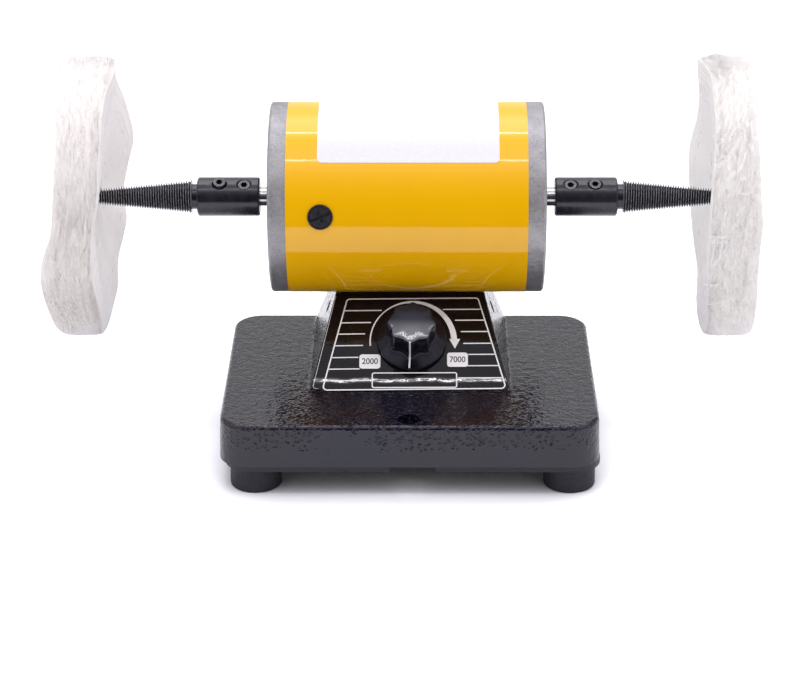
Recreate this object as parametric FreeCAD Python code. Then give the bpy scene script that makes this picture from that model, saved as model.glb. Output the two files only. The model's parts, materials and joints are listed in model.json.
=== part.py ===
import FreeCAD, Part
import math
import os

# Bench polishing lathe with a variable-speed motor and two cotton buffs.
# All lengths are in millimetres and all angles in degrees.
# X runs along the spindle (+X to the right), -Y is the front with the speed knob, +Z is up.
# The feet stand on Z = 0. X = 0 is the middle of the motor, and Y = 0 is midway between the front
# edge of the base and the rearmost point of the buffs.

# ------------------------------------------------------------------ driving dimensions

# base casting
base_width = 154.2
base_depth = 116.0
base_draft_angle = 1.7
base_corner_radius = 12.0
base_top_fillet = 1.8
slab_height = 17.8
casting_wall = 5.0
pocket_corner_radius = 7.0

# pedestal, which rises from the base and holds the motor in a saddle; the base and all that it
# carries sit base_offset_x to the right of the motor's middle
pedestal_width = 83.0
pedestal_wall = 4.0
pedestal_rear_setback = 3.6
pedestal_edge_fillet = 1.2
pedestal_foot_fillet = 2.0
panel_foot_to_axis = 53.2
rear_foot_to_axis = 25.0
panel_angle = 35.9
base_offset_x = 1.2
cheek_draft_angle = 20.3
saddle_thickness = 5.0
saddle_fit = 0.05
cheek_hole_diameter = 5.5
cheek_hole_above_base = 18.3
cheek_hole_before_axis = 6.2

# bench bolt hole
bench_hole_diameter = 9.2
bench_hole_setback = 7.7
bench_boss_diameter = 18.0

# bottom cover and feet
cover_thickness = 2.6
cover_inset = 1.0
cover_shift_x = 1.2
cover_notch_width = 19.0
foot_diameter = 21.0
foot_height = 10.6
foot_edge_inset = 2.8
foot_edge_radius = 1.0
foot_recess_diameter = 11.0
foot_recess_depth = 6.0
foot_washer_thickness = 0.8
foot_boss_diameter = 16.0
foot_screw_grip = 10.0

# screws
m3_diameter = 3.0
m4_diameter = 4.0
m5_diameter = 5.0
screw_clearance = 0.25
thread_fit = 0.05
press_fit_gap = 0.02
head_diameter_ratio = 1.75
head_height_ratio = 0.6
drive_depth_ratio = 0.35
drive_width_ratio = 0.22

# motor casing
tube_outer_diameter = 80.0
tube_wall = 3.5
tube_length = 98.7
motor_lift = 25.6
bell_step = 0.25
bell_rim_width = 7.45
bell_edge_radius = 1.2
bell_recess_chamfer = 0.8
bell_recess_depth = 2.5
bell_recess_margin = 5.0
bell_boss_diameter = 30.0
spigot_length = 4.0
spigot_wall = 2.5
spigot_fit = 0.05
through_bolt_wall_gap = 3.0
through_bolt_angle = 15.0
bolt_head_seat_clearance = 0.6

# data label on the tube
label_width = 74.1
label_centre_x = 0.6
label_corner_radius = 2.0
label_thickness = 0.15
label_front_angle = 40.5
label_rear_angle = 112.0

# shaft and ball bearings
shaft_diameter = 8.0
shaft_core_diameter = 10.0
shaft_end_chamfer = 0.6
shaft_hole_clearance = 1.0
bearing_outer_diameter = 22.0
bearing_width = 7.0
bearing_ball_diameter = 3.97
bearing_ball_count = 7
bearing_ball_start_share = 0.2
bearing_ball_play = 0.05
bearing_ring_gap = 2.8
bearing_cage_thickness = 0.6
bearing_cage_width = 5.0
shield_thickness = 0.3
shield_inner_gap = 0.35
bearing_end_wall = 3.0
washer_preload_thickness = 1.0

# magnets and armature
magnet_thickness = 7.0
magnet_length = 56.0
magnet_span_angle = 130.0
glue_gap = 0.1
air_gap = 0.6
clip_width = 14.0
clip_start_x = 2.0
clip_thickness = 1.0
clip_leg_angle = 1.5
armature_length = 50.0
armature_centre_x = 7.0
armature_slot_count = 12
armature_slot_width = 4.4
armature_slot_mouth = 2.0
armature_slot_floor_radius = 15.0
armature_tooth_tip = 2.3
winding_overhang = 9.0
winding_end_radius = 25.5
winding_hub_radius = 8.5
winding_fit = 0.1
winding_rounding = 2.0

# commutator and brushes
commutator_diameter = 25.0
commutator_length = 14.0
commutator_wall = 4.3
commutator_bar_count = 24
commutator_slot_width = 0.6
commutator_slot_depth = 1.2
riser_length = 1.5
riser_height = 2.0
brush_axis_inset = 14.2
brush_elevation = 8.5
brush_thickness = 4.5
brush_width = 6.0
brush_length = 13.0
brush_air_gap = 0.3
brush_side_play = 0.1
guide_diameter = 8.4
guide_inner_end_gap = 1.6
holder_diameter = 10.4
holder_proud = 0.5
holder_inner_radius = 17.0
cap_diameter = 8.8
cap_length = 4.5
cap_recess = 0.2
cap_slot_width = 1.1
cap_slot_depth = 0.9
cap_slot_angle = 23.5
cap_cross_slot_share = 0.5
spring_coil_diameter = 3.8
spring_wire_diameter = 0.5
spring_turns = 6
spring_end_gap = 0.3

# arbors: a sleeve clamped on the shaft by two set screws, with a tapered thread for the buff
arbor_start_gap = 5.0
sleeve_diameter = 16.4
sleeve_length = 26.1
sleeve_chamfer = 0.6
sleeve_bore_fit = 0.02
sleeve_bore_depth = 22.5
shaft_end_play = 0.8
neck_diameter = 10.8
neck_length = 2.4
taper_large_diameter = 12.9
taper_small_diameter = 4.2
taper_length = 48.6
taper_thread_pitch = 1.05
taper_thread_depth = 0.45
taper_tip_length = 1.0
set_screw_inset = 6.4
set_screw_pitch = 10.25
set_screw_angle = 60.5
set_screw_length = 4.2
set_screw_seat_diameter = 6.6
set_screw_seat_depth = 0.7
left_set_screw_proud = 1.8
right_set_screw_proud = 0.6
set_screw_socket_width = 2.5
set_screw_socket_depth = 2.0
set_screw_flat_depth = 0.5

# cotton buffs
buff_diameter = 117.0
buff_rim_width = 21.0
buff_hub_width = 12.0
buff_hub_diameter = 28.0
buff_rim_start_share = 0.78
buff_rim_rounding = 2.5
buff_inner_offset = 30.4
buff_hub_recess = 6.0
buff_hole_fit = 0.3

# control panel, potentiometer and knob
overlay_thickness = 0.3
overlay_side_margin = 0.7
overlay_foot_margin = 0.7
overlay_length = 46.5
overlay_corner_radius = 1.0
knob_up_slope = 23.9
knob_shift_x = 0.7
knob_gap = 0.4
knob_diameter = 28.8
knob_height = 15.8
knob_skirt_edge = 1.6
knob_skirt_rise = 3.6
knob_grip_diameter = 18.8
knob_lobe_count = 8
knob_lobe_depth = 1.5
knob_top_chamfer = 0.9
knob_bore_depth = 12.0
knob_recess_diameter = 17.0
knob_recess_depth = 3.4
knob_screw_height = 8.0
pot_shaft_diameter = 6.0
pot_shaft_fit = 0.04
pot_bush_diameter = 7.0
pot_bush_proud = 2.9
pot_body_diameter = 16.5
pot_body_length = 8.0
switch_body_length = 5.0
pot_nut_width = 10.0
pot_nut_height = 2.0
pot_washer_thickness = 0.5
pot_washer_diameter = 12.0

# speed control board under the pedestal
board_width = 72.0
board_depth = 44.0
board_thickness = 1.6
board_behind_base_centre = 20.0
board_hole_inset = 4.0
standoff_height = 5.0
standoff_diameter = 6.0
part_gap = 0.1
heat_sink_width = 20.0
heat_sink_depth = 9.0
heat_sink_height = 15.0
heat_sink_fin_count = 4
heat_sink_plate = 2.0
heat_sink_left = 10.0
triac_width = 10.0
triac_thickness = 4.4
triac_height = 13.0
rectifier_width = 15.0
rectifier_depth = 5.0
rectifier_height = 11.0
rectifier_x = 10.0
capacitor_width = 16.0
capacitor_depth = 7.5
capacitor_height = 12.0
capacitor_x = 16.0
choke_outer_diameter = 12.0
choke_inner_diameter = 5.0
choke_height = 6.0
choke_left = 22.5
fuse_diameter = 5.0
fuse_length = 20.0
fuse_cap_length = 5.0
fuse_cap_thickness = 0.4
fuse_x = 8.0
terminal_count = 4
terminal_pitch = 5.0
terminal_depth = 8.0
terminal_height = 9.0
terminal_left = 18.0
rear_row_inset = 8.0
front_row_inset = 9.0
middle_row_forward = 13.0

# wiring and bushes
lead_diameter = 1.6
lead_spacing = 2.8
lead_gap_angle = 16.0
lead_bend_steps = 5
lead_hole_diameter = 8.0
lead_hole_left = 9.0
lead_bush_wall = 1.2
lead_bush_lip = 1.0
mount_screw_x = 21.0
mount_screw_reach = 2.0
mount_boss_diameter = 11.0
mount_boss_height = 1.0
spring_washer_thickness = 1.2
cord_bush_inset = 30.5
cord_bush_hole_diameter = 11.0
cord_bush_bore_diameter = 7.2
cord_bush_flange_diameter = 15.0
cord_bush_flange_thickness = 1.6
cord_bush_tail_length = 4.0
cord_bush_tail_diameter = 12.5

# ------------------------------------------------------------------ derived places

tube_radius = tube_outer_diameter / 2
tube_bore_radius = tube_radius - tube_wall
bell_radius = tube_radius - bell_step
through_bolt_circle_radius = tube_bore_radius - through_bolt_wall_gap - m4_diameter / 2
buff_radius = buff_diameter / 2
base_rear_to_axis = rear_foot_to_axis + pedestal_rear_setback
axis_y = (base_depth - base_rear_to_axis - buff_radius) / 2
base_rear_y = axis_y + base_rear_to_axis
base_front_y = base_rear_y - base_depth
base_centre_y = (base_front_y + base_rear_y) / 2

cover_bottom_z = foot_height
slab_bottom_z = cover_bottom_z + cover_thickness
base_top_z = slab_bottom_z + slab_height
axis_z = base_top_z + motor_lift + tube_radius
saddle_radius = tube_radius + saddle_fit
saddle_floor_radius = tube_radius + saddle_thickness
cord_bush_x = base_width / 2 - cord_bush_inset
lead_hole_x = -lead_hole_left

bell_inner_x = tube_length / 2
bell_outer_x = bell_inner_x + bell_rim_width
bell_recess_x = bell_outer_x - bell_recess_depth
bearing_seat_end_x = bell_outer_x - bearing_end_wall
right_bearing_x = bearing_seat_end_x - washer_preload_thickness - bearing_width / 2
left_bearing_x = -(bearing_seat_end_x - bearing_width / 2)
bearing_shoulder_left_x = left_bearing_x + bearing_width / 2
bearing_shoulder_right_x = right_bearing_x - bearing_width / 2

magnet_outer_radius = tube_bore_radius - glue_gap
magnet_inner_radius = magnet_outer_radius - magnet_thickness
armature_radius = magnet_inner_radius - air_gap
armature_start_x = armature_centre_x - armature_length / 2
armature_end_x = armature_centre_x + armature_length / 2
commutator_radius = commutator_diameter / 2
brush_axis_x = -(tube_length / 2 - brush_axis_inset)
commutator_start_x = brush_axis_x - commutator_length / 2
commutator_end_x = brush_axis_x + commutator_length / 2 - riser_length
guide_inner_radius = commutator_radius + guide_inner_end_gap

arbor_start_x = bell_outer_x + arbor_start_gap
sleeve_end_x = arbor_start_x + sleeve_length
taper_start_x = sleeve_end_x + neck_length
taper_end_x = taper_start_x + taper_length
shaft_end_x = arbor_start_x + sleeve_bore_depth - shaft_end_play
set_screw_places = (
    arbor_start_x + set_screw_inset,
    arbor_start_x + set_screw_inset + set_screw_pitch,
)
buff_rim_inner_x = taper_start_x + buff_inner_offset
buff_hub_inner_x = buff_rim_inner_x + buff_hub_recess

panel_foot_y = axis_y - panel_foot_to_axis
pedestal_rear_y = axis_y + rear_foot_to_axis
cheek_draft = math.tan(math.radians(cheek_draft_angle))
panel_run = 1 / math.tan(math.radians(panel_angle))
panel_up = FreeCAD.Vector(0, math.cos(math.radians(panel_angle)), math.sin(math.radians(panel_angle)))
panel_foot = FreeCAD.Vector(0, panel_foot_y, base_top_z)

board_top_z = slab_bottom_z + standoff_height + board_thickness
board_centre_y = base_centre_y + board_behind_base_centre
board_rear_row_y = board_centre_y + board_depth / 2 - rear_row_inset
board_front_row_y = board_centre_y - board_depth / 2 + front_row_inset
board_middle_row_y = board_rear_row_y - middle_row_forward
heat_sink_x = -heat_sink_left
choke_x = -choke_left
terminal_x = -terminal_left

UP = FreeCAD.Vector(0, 0, 1)
ALONG_X = FreeCAD.Vector(1, 0, 0)
ORIGIN = FreeCAD.Vector(0, 0, 0)
QUARTER_TURN = 90
HALF_TURN = 180
FULL_TURN = 360


# ------------------------------------------------------------------ helpers

def save(node, *solids):
    """Writes one sub-part, which may hold several separate solids, as parts/NODE.step."""
    pieces = [solid for shape in solids for solid in shape.Solids]
    shape = pieces[0] if len(pieces) == 1 else Part.makeCompound(pieces)
    shape.exportStep("parts/" + node + ".step")


def save_base(node, *solids):
    """Writes a sub-part that is built about the base's middle, moved to its place beside the motor."""
    save(node, *[solid.translated(ALONG_X * base_offset_x) for solid in solids])


def from_base(x):
    """A distance from the motor's middle, as seen from the base's middle."""
    return x - base_offset_x


def block(x_range, y_range, z_range):
    """A box from its lowest to its highest coordinates."""
    size = (x_range[1] - x_range[0], y_range[1] - y_range[0], z_range[1] - z_range[0])
    return Part.makeBox(*size, FreeCAD.Vector(x_range[0], y_range[0], z_range[0]))


def post(radius, bottom_z, top_z, x=0.0, y=0.0):
    """An upright cylinder."""
    return Part.makeCylinder(radius, top_z - bottom_z, FreeCAD.Vector(x, y, bottom_z), UP)


def rod(radius, start_x, end_x):
    """A cylinder on the X axis."""
    return Part.makeCylinder(radius, end_x - start_x, FreeCAD.Vector(start_x, 0, 0), ALONG_X)


def ring(outer_radius, inner_radius, start_x, end_x):
    """A plain ring on the X axis."""
    return rod(outer_radius, start_x, end_x).cut(rod(inner_radius, start_x, end_x))


def sector_ring(outer_radius, inner_radius, start_x, end_x, middle_elevation, span):
    """A part of a ring on the X axis, centred on an elevation angle above the front."""
    start = FreeCAD.Vector(start_x, 0, 0)
    length = end_x - start_x
    wedge = Part.makeCylinder(outer_radius, length, start, ALONG_X, span)
    hollow = wedge.cut(rod(inner_radius, start_x, end_x))
    hollow.rotate(ORIGIN, ALONG_X, QUARTER_TURN - span / 2 - middle_elevation)
    return hollow


def turned(points, axis=ALONG_X):
    """A solid turned about the X axis from (x, radius) points, or about Z from (radius, z) points."""
    if axis is ALONG_X:
        corners = [FreeCAD.Vector(x, 0, radius) for x, radius in points]
    else:
        corners = [FreeCAD.Vector(radius, 0, z) for radius, z in points]
    outline = Part.makePolygon(corners + corners[:1])
    return Part.Face(outline).revolve(ORIGIN, axis, FULL_TURN)


def towards(shape, elevation):
    """Turns a shape built along +Z about the X axis, to point forwards at an elevation angle."""
    turned_shape = shape.copy()
    turned_shape.rotate(ORIGIN, ALONG_X, QUARTER_TURN - elevation)
    return turned_shape


def mirrored(shape):
    """The same shape on the other side of the motor's middle."""
    return shape.mirror(ORIGIN, ALONG_X)


def at_motor(shape):
    """Carries a shape from the motor's own axis to its place above the base."""
    placed = shape.copy()
    placed.translate(FreeCAD.Vector(0, axis_y, axis_z))
    return placed


def at_panel(shape):
    """Carries a shape built along +Z to the knob's place, square to the control panel."""
    placed = shape.copy()
    placed.rotate(ORIGIN, ALONG_X, panel_angle)
    placed.translate(knob_foot())
    return placed


def knob_foot():
    """The point of the sloping wall on the knob's axis."""
    return panel_foot + panel_up * knob_up_slope + ALONG_X * knob_shift_x


def rounded_plate(x_half, y_range, corner_radius, z_range):
    """A flat plate with rounded upright edges."""
    plate = block((-x_half, x_half), y_range, z_range)
    upright = [edge for edge in plate.Edges if abs(edge.tangentAt(edge.FirstParameter).z) > 0.99]
    return plate.makeFillet(corner_radius, upright)


def tapered_block(low, high):
    """A solid with flat sides between four lower corners and four upper ones."""
    loops = [low[::-1], high]
    for i in range(4):
        j = (i + 1) % 4
        loops.append([low[i], low[j], high[j], high[i]])
    faces = [Part.Face(Part.makePolygon(loop + loop[:1])) for loop in loops]
    return Part.Solid(Part.Shell(faces))


def hexagon(width, bottom_z, top_z):
    """A six-sided prism along Z, from its width across flats."""
    corner_radius = width / math.sqrt(3)
    corners = [
        FreeCAD.Vector(corner_radius * math.cos(math.radians(60 * i)),
                       corner_radius * math.sin(math.radians(60 * i)), bottom_z)
        for i in range(7)
    ]
    return Part.Face(Part.makePolygon(corners)).extrude(UP * (top_z - bottom_z))


def pan_screw(diameter, seat_z, tip_z, x=0.0, y=0.0):
    """A cross-recessed pan-head screw along Z, whose head seats at seat_z and whose tip is at tip_z."""
    upwards = 1 if tip_z > seat_z else -1
    head_radius = diameter * head_diameter_ratio / 2
    head_height = diameter * head_height_ratio
    shank = post(diameter / 2, min(seat_z, tip_z), max(seat_z, tip_z), x, y)
    outer_z = seat_z - upwards * head_height
    head = post(head_radius, min(seat_z, outer_z), max(seat_z, outer_z), x, y)
    outer_edges = [edge for edge in head.Edges
                   if edge.Curve.TypeId == "Part::GeomCircle" and abs(edge.Curve.Center.z - outer_z) < 1e-6]
    head = head.makeFillet(head_height * 0.4, outer_edges)
    recess_z = outer_z + upwards * diameter * drive_depth_ratio
    z_range = (min(outer_z, recess_z), max(outer_z, recess_z))
    arm = head_radius * 0.6
    slot = diameter * drive_width_ratio / 2
    cross = block((x - arm, x + arm), (y - slot, y + slot), z_range)
    cross = cross.fuse(block((x - slot, x + slot), (y - arm, y + arm), z_range))
    return shank.fuse(head).removeSplitter().cut(cross)


def wire_run(points, radius):
    """A round wire through points, with a ball at each bend."""
    pieces = []
    for start, end in zip(points[:-1], points[1:]):
        pieces.append(Part.makeCylinder(radius, (end - start).Length, start, end - start))
    for bend in points[1:-1]:
        pieces.append(Part.makeSphere(radius, bend))
    return pieces[0].multiFuse(pieces[1:])


def on_circle(x, radius, elevation):
    """A point around the motor's axis, at an elevation angle above the front."""
    angle = math.radians(elevation)
    return FreeCAD.Vector(x, -radius * math.cos(angle), radius * math.sin(angle))


# ------------------------------------------------------------------ base casting

def pedestal_block(inset, bottom_z):
    """The pedestal's tapered outline, taken in by a wall thickness on every side."""
    top_z = base_top_z + motor_lift + 0.36 * tube_radius
    cheek_inset = inset / math.cos(math.radians(cheek_draft_angle))
    panel_inset = inset / math.sin(math.radians(panel_angle))

    def corners(z):
        rise = z - base_top_z
        x = pedestal_width / 2 - cheek_inset - cheek_draft * rise
        front = panel_foot_y + panel_inset + panel_run * rise
        rear = pedestal_rear_y - cheek_inset - cheek_draft * rise
        return [FreeCAD.Vector(-x, front, z), FreeCAD.Vector(x, front, z),
                FreeCAD.Vector(x, rear, z), FreeCAD.Vector(-x, rear, z)]

    return tapered_block(corners(bottom_z), corners(top_z))


def foot_places():
    """Centres of the four feet."""
    reach = foot_diameter / 2 + foot_edge_inset
    x = base_width / 2 - reach
    rows = (base_front_y + reach, base_rear_y - reach)
    return [(cover_shift_x + side * x, y) for side in (-1, 1) for y in rows]


def bench_hole_y():
    return base_front_y + bench_hole_setback


def drafted_slab():
    """The slab's outer block, a little narrower at its top for the mould's draft."""

    def corners(z):
        inset = (z - slab_bottom_z) * math.tan(math.radians(base_draft_angle))
        x = base_width / 2 - inset
        front, rear = base_front_y + inset, base_rear_y - inset
        return [FreeCAD.Vector(-x, front, z), FreeCAD.Vector(x, front, z),
                FreeCAD.Vector(x, rear, z), FreeCAD.Vector(-x, rear, z)]

    slab = tapered_block(corners(slab_bottom_z), corners(base_top_z))
    upright = [edge for edge in slab.Edges if edge.BoundBox.ZLength > slab_height / 2]
    return slab.makeFillet(base_corner_radius, upright)


def pedestal_foot_line(body):
    """The edges where the pedestal meets the top of the slab."""
    reach = pedestal_width / 2 + press_fit_gap
    line = []
    for edge in body.Edges:
        box = edge.BoundBox
        level = box.ZLength < press_fit_gap and abs(box.ZMin - base_top_z) < press_fit_gap
        inside = box.XMin > -reach and box.XMax < reach and box.YMax < pedestal_rear_y + press_fit_gap
        if level and inside and box.YMin > panel_foot_y - press_fit_gap:
            line.append(edge)
    return line


def cast_base():
    """Slab and pedestal in one hollow casting, open below, with the motor's saddle on top."""
    slab = drafted_slab()
    top_edges = [edge for edge in slab.Edges if edge.BoundBox.ZMin > base_top_z - 0.01]
    slab = slab.makeFillet(base_top_fillet, top_edges)
    pedestal = pedestal_block(0, base_top_z - base_top_fillet)
    slanted = [edge for edge in pedestal.Edges if edge.BoundBox.ZLength > 1]
    pedestal = pedestal.makeFillet(pedestal_edge_fillet, slanted)
    body = slab.fuse(pedestal).removeSplitter()
    body = body.makeFillet(pedestal_foot_fillet, pedestal_foot_line(body))
    motor_room = at_motor(rod(saddle_radius, -base_width, base_width))
    body = body.cut(motor_room)

    pocket = rounded_plate(base_width / 2 - casting_wall,
                           (base_front_y + casting_wall, base_rear_y - casting_wall),
                           pocket_corner_radius, (slab_bottom_z, base_top_z - casting_wall))
    bosses = [post(foot_boss_diameter / 2, slab_bottom_z, base_top_z - casting_wall, x, y)
              for x, y in foot_places()]
    bosses.append(post(bench_boss_diameter / 2, slab_bottom_z, base_top_z - casting_wall, 0, bench_hole_y()))
    pocket = pocket.cut(bosses[0].multiFuse(bosses[1:]))
    chamber = pedestal_block(pedestal_wall, base_top_z - casting_wall - 1)
    chamber = chamber.cut(at_motor(rod(saddle_floor_radius, -base_width, base_width)))
    body = body.cut(pocket).cut(chamber)
    mount_bosses = [mount_boss(side) for side in (-1, 1)]
    body = body.fuse(mount_bosses)

    holes = [post(bench_hole_diameter / 2, slab_bottom_z, base_top_z, 0, bench_hole_y())]
    for x, y in foot_places():
        tapped_to_z = slab_bottom_z + foot_screw_grip + 1
        holes.append(post(m4_diameter / 2 + thread_fit, slab_bottom_z, tapped_to_z, x, y))
    for side in (-1, 1):
        holes.append(post(m5_diameter / 2 + screw_clearance, base_top_z, axis_z,
                          from_base(side * mount_screw_x), axis_y))
    holes.append(post(lead_hole_diameter / 2, base_top_z, axis_z, from_base(lead_hole_x), axis_y))
    holes.append(cheek_holes())
    holes.append(at_panel(post(pot_bush_diameter / 2 + screw_clearance, -2 * pedestal_wall, pedestal_wall)))
    holes.append(cord_bush_tunnel(cord_bush_hole_diameter / 2, 2 * casting_wall))
    return body.cut(holes).removeSplitter()


def mount_boss(side):
    """A flat seat under the saddle for one motor mounting screw."""
    seat_z = mount_seat_z()
    boss = post(mount_boss_diameter / 2, seat_z, seat_z + saddle_thickness,
                from_base(side * mount_screw_x), axis_y)
    return boss.cut(at_motor(rod(saddle_radius, -base_width, base_width)))


def mount_seat_z():
    return axis_z - saddle_floor_radius - mount_boss_height


def cheek_holes():
    """One hole along X through both cheeks of the pedestal."""
    place = FreeCAD.Vector(-base_width / 2, axis_y - cheek_hole_before_axis, base_top_z + cheek_hole_above_base)
    return Part.makeCylinder(cheek_hole_diameter / 2, base_width, place, ALONG_X)


def cord_bush_tunnel(radius, length):
    """A round hole from the rear face of the slab inwards, where the cord bush sits."""
    place = FreeCAD.Vector(cord_bush_x, base_rear_y + 0.001, cord_bush_z())
    return Part.makeCylinder(radius, length, place, FreeCAD.Vector(0, -1, 0))


def cord_bush_z():
    return slab_bottom_z + (slab_height - casting_wall) / 2


def cord_bush():
    """Rubber bush for the mains cord: outer flange, neck through the wall and inner collar."""
    neck_radius = cord_bush_hole_diameter / 2 - press_fit_gap
    inner_y = -casting_wall - press_fit_gap
    outline = [
        (neck_radius, 0.0),
        (cord_bush_flange_diameter / 2, 0.0),
        (cord_bush_flange_diameter / 2, cord_bush_flange_thickness),
        (cord_bush_bore_diameter / 2, cord_bush_flange_thickness),
        (cord_bush_bore_diameter / 2, inner_y - cord_bush_tail_length),
        (neck_radius, inner_y - cord_bush_tail_length),
        (cord_bush_tail_diameter / 2, inner_y),
        (neck_radius, inner_y),
    ]
    bush = turned(outline, UP)
    bush.rotate(ORIGIN, ALONG_X, -QUARTER_TURN)
    bush.translate(FreeCAD.Vector(cord_bush_x, base_rear_y, cord_bush_z()))
    return bush


# ------------------------------------------------------------------ cover and feet

def bottom_cover():
    """Sheet cover under the casting, a little to the right of its middle, notched at the bench bolt hole."""
    corner = base_corner_radius - cover_inset
    plate = rounded_plate(base_width / 2 - cover_inset,
                          (base_front_y + cover_inset, base_rear_y - cover_inset), corner,
                          (cover_bottom_z, slab_bottom_z))
    notch_half = cover_notch_width / 2
    notch = block((-notch_half, notch_half), (base_front_y, bench_hole_y()), (cover_bottom_z, slab_bottom_z))
    notch = notch.fuse(post(notch_half, cover_bottom_z, slab_bottom_z, 0, bench_hole_y()))
    plate = plate.cut(notch).translated(ALONG_X * cover_shift_x)
    holes = [post(m4_diameter / 2 + screw_clearance, cover_bottom_z, slab_bottom_z, x, y)
             for x, y in foot_places()]
    for x, y in board_screw_places():
        holes.append(post(m3_diameter / 2 + thread_fit, cover_bottom_z, slab_bottom_z, x, y))
    return plate.cut(holes)


def rubber_foot(x, y):
    """Round foot with a rounded bottom edge and a recess for its screw."""
    foot = post(foot_diameter / 2, 0, foot_height, x, y)
    bottom = [edge for edge in foot.Edges
              if edge.Curve.TypeId == "Part::GeomCircle" and abs(edge.Curve.Center.z) < 1e-6]
    foot = foot.makeFillet(foot_edge_radius, bottom)
    recess = post(foot_recess_diameter / 2, 0, foot_recess_depth, x, y)
    hole = post(m4_diameter / 2 + screw_clearance, 0, foot_height, x, y)
    return foot.cut([recess, hole])


def foot_washer(x, y):
    top_z = foot_recess_depth
    bottom_z = top_z - foot_washer_thickness
    washer = post(foot_recess_diameter / 2 - screw_clearance, bottom_z, top_z, x, y)
    return washer.cut(post(m4_diameter / 2 + screw_clearance, bottom_z, top_z, x, y))


def foot_screw(x, y):
    seat_z = foot_recess_depth - foot_washer_thickness
    return pan_screw(m4_diameter, seat_z, slab_bottom_z + foot_screw_grip, x, y)


# ------------------------------------------------------------------ motor casing

def motor_tube():
    """Steel tube that is the motor's case, with its brush, lead and mounting holes."""
    tube = ring(tube_radius, tube_bore_radius, -tube_length / 2, tube_length / 2)
    holes = []
    for elevation in (brush_elevation, brush_elevation + HALF_TURN):
        hole = post(holder_diameter / 2 + press_fit_gap, tube_bore_radius - tube_wall, tube_radius + tube_wall)
        hole = towards(hole, elevation)
        hole.translate(FreeCAD.Vector(brush_axis_x, 0, 0))
        holes.append(hole)
    for side in (-1, 1):
        x = side * mount_screw_x
        holes.append(post(m5_diameter / 2 + thread_fit, -tube_radius - 1, -tube_bore_radius + 1, x))
    holes.append(post(lead_hole_diameter / 2, -tube_radius - 1, -tube_bore_radius + 1, lead_hole_x))
    return tube.cut(holes)


def bolt_places():
    """Elevation angles of the two through bolts, in the gaps between the magnets."""
    return (QUARTER_TURN - through_bolt_angle, -QUARTER_TURN - through_bolt_angle)


def end_bell(side):
    """Cast end bell on the right (side 1) or left (side -1), with its bearing seat and spigot."""
    spigot_radius = tube_bore_radius - spigot_fit
    housing_radius = bell_boss_diameter / 2
    seat_radius = bearing_outer_diameter / 2 + press_fit_gap
    seat_start_x = bell_inner_x - spigot_length
    recess_outer_radius = bell_radius - bell_recess_margin
    outline = [
        (bell_inner_x, spigot_radius),
        (bell_inner_x, bell_radius),
        (bell_outer_x, bell_radius),
        (bell_outer_x, recess_outer_radius),
        (bell_recess_x, recess_outer_radius - bell_recess_chamfer),
        (bell_recess_x, housing_radius + bell_recess_chamfer),
        (bell_outer_x, housing_radius),
        (bell_outer_x, shaft_diameter / 2 + shaft_hole_clearance),
        (bearing_seat_end_x, shaft_diameter / 2 + shaft_hole_clearance),
        (bearing_seat_end_x, seat_radius),
        (seat_start_x, seat_radius),
        (seat_start_x, housing_radius),
        (bell_inner_x, housing_radius),
        (bell_inner_x, spigot_radius - spigot_wall),
        (seat_start_x, spigot_radius - spigot_wall),
        (seat_start_x, spigot_radius),
    ]
    bell = turned(outline)
    rim = [edge for edge in bell.Edges if edge.Curve.TypeId == "Part::GeomCircle"
           and abs(edge.Curve.Radius - bell_radius) < 1e-6
           and abs(edge.Curve.Center.x - bell_outer_x) < 1e-6]
    bell = bell.makeFillet(bell_edge_radius, rim)
    for elevation in bolt_places():
        bell = bell.cut(bolt_hole(side, elevation))
    return bell if side > 0 else mirrored(bell)


def bolt_hole(side, elevation):
    """Clearance hole and head seat in the left bell, or a blind tapped hole in the right one."""
    centre = on_circle(0, through_bolt_circle_radius, elevation)
    if side > 0:
        hole = rod(m4_diameter / 2 + thread_fit, 0, bell_recess_x - 1)
    else:
        seat_radius = m4_diameter * head_diameter_ratio / 2 + bolt_head_seat_clearance
        hole = rod(m4_diameter / 2 + screw_clearance, 0, bell_outer_x + 1)
        hole = hole.fuse(rod(seat_radius, bell_recess_x, bell_outer_x + 1))
    hole.translate(centre)
    return hole


def through_bolt(elevation):
    """Long bolt that draws both end bells against the tube."""
    bolt = pan_screw(m4_diameter, -bell_recess_x, bell_recess_x - 1.5)
    bolt.rotate(ORIGIN, FreeCAD.Vector(0, 1, 0), QUARTER_TURN)
    bolt.translate(on_circle(0, through_bolt_circle_radius, elevation))
    return bolt


def data_label():
    """Blank label that wraps over the top of the tube."""
    middle = (label_front_angle + label_rear_angle) / 2
    span = label_rear_angle - label_front_angle
    start_x = label_centre_x - label_width / 2
    end_x = start_x + label_width
    label = sector_ring(tube_radius + label_thickness, tube_radius, start_x, end_x, middle, span)
    corner_angle = math.degrees(label_corner_radius / tube_radius)
    half_width = label_width / 2 - label_corner_radius
    for side in (-1, 1):
        for end, elevation in ((-1, label_front_angle + corner_angle), (1, label_rear_angle - corner_angle)):
            cutter = towards(label_corner(side, end), elevation)
            cutter.translate(ALONG_X * (label_centre_x + side * half_width))
            label = label.cut(cutter)
    return label


def label_corner(side, end):
    """What is cut away outside one rounded corner of the label, built along +Z about the corner's centre."""
    beyond = 2 * label_corner_radius
    z_range = (tube_radius - label_corner_radius, tube_radius + label_corner_radius)
    square = block(sorted((0, side * beyond)), sorted((0, end * beyond)), z_range)
    return square.cut(post(label_corner_radius, *z_range))


# ------------------------------------------------------------------ bearings

def bearing_radii():
    """Pitch radius of the balls, and the lands of the inner and outer rings."""
    pitch = (shaft_diameter + bearing_outer_diameter) / 4
    return pitch, pitch - bearing_ring_gap / 2, pitch + bearing_ring_gap / 2


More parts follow.
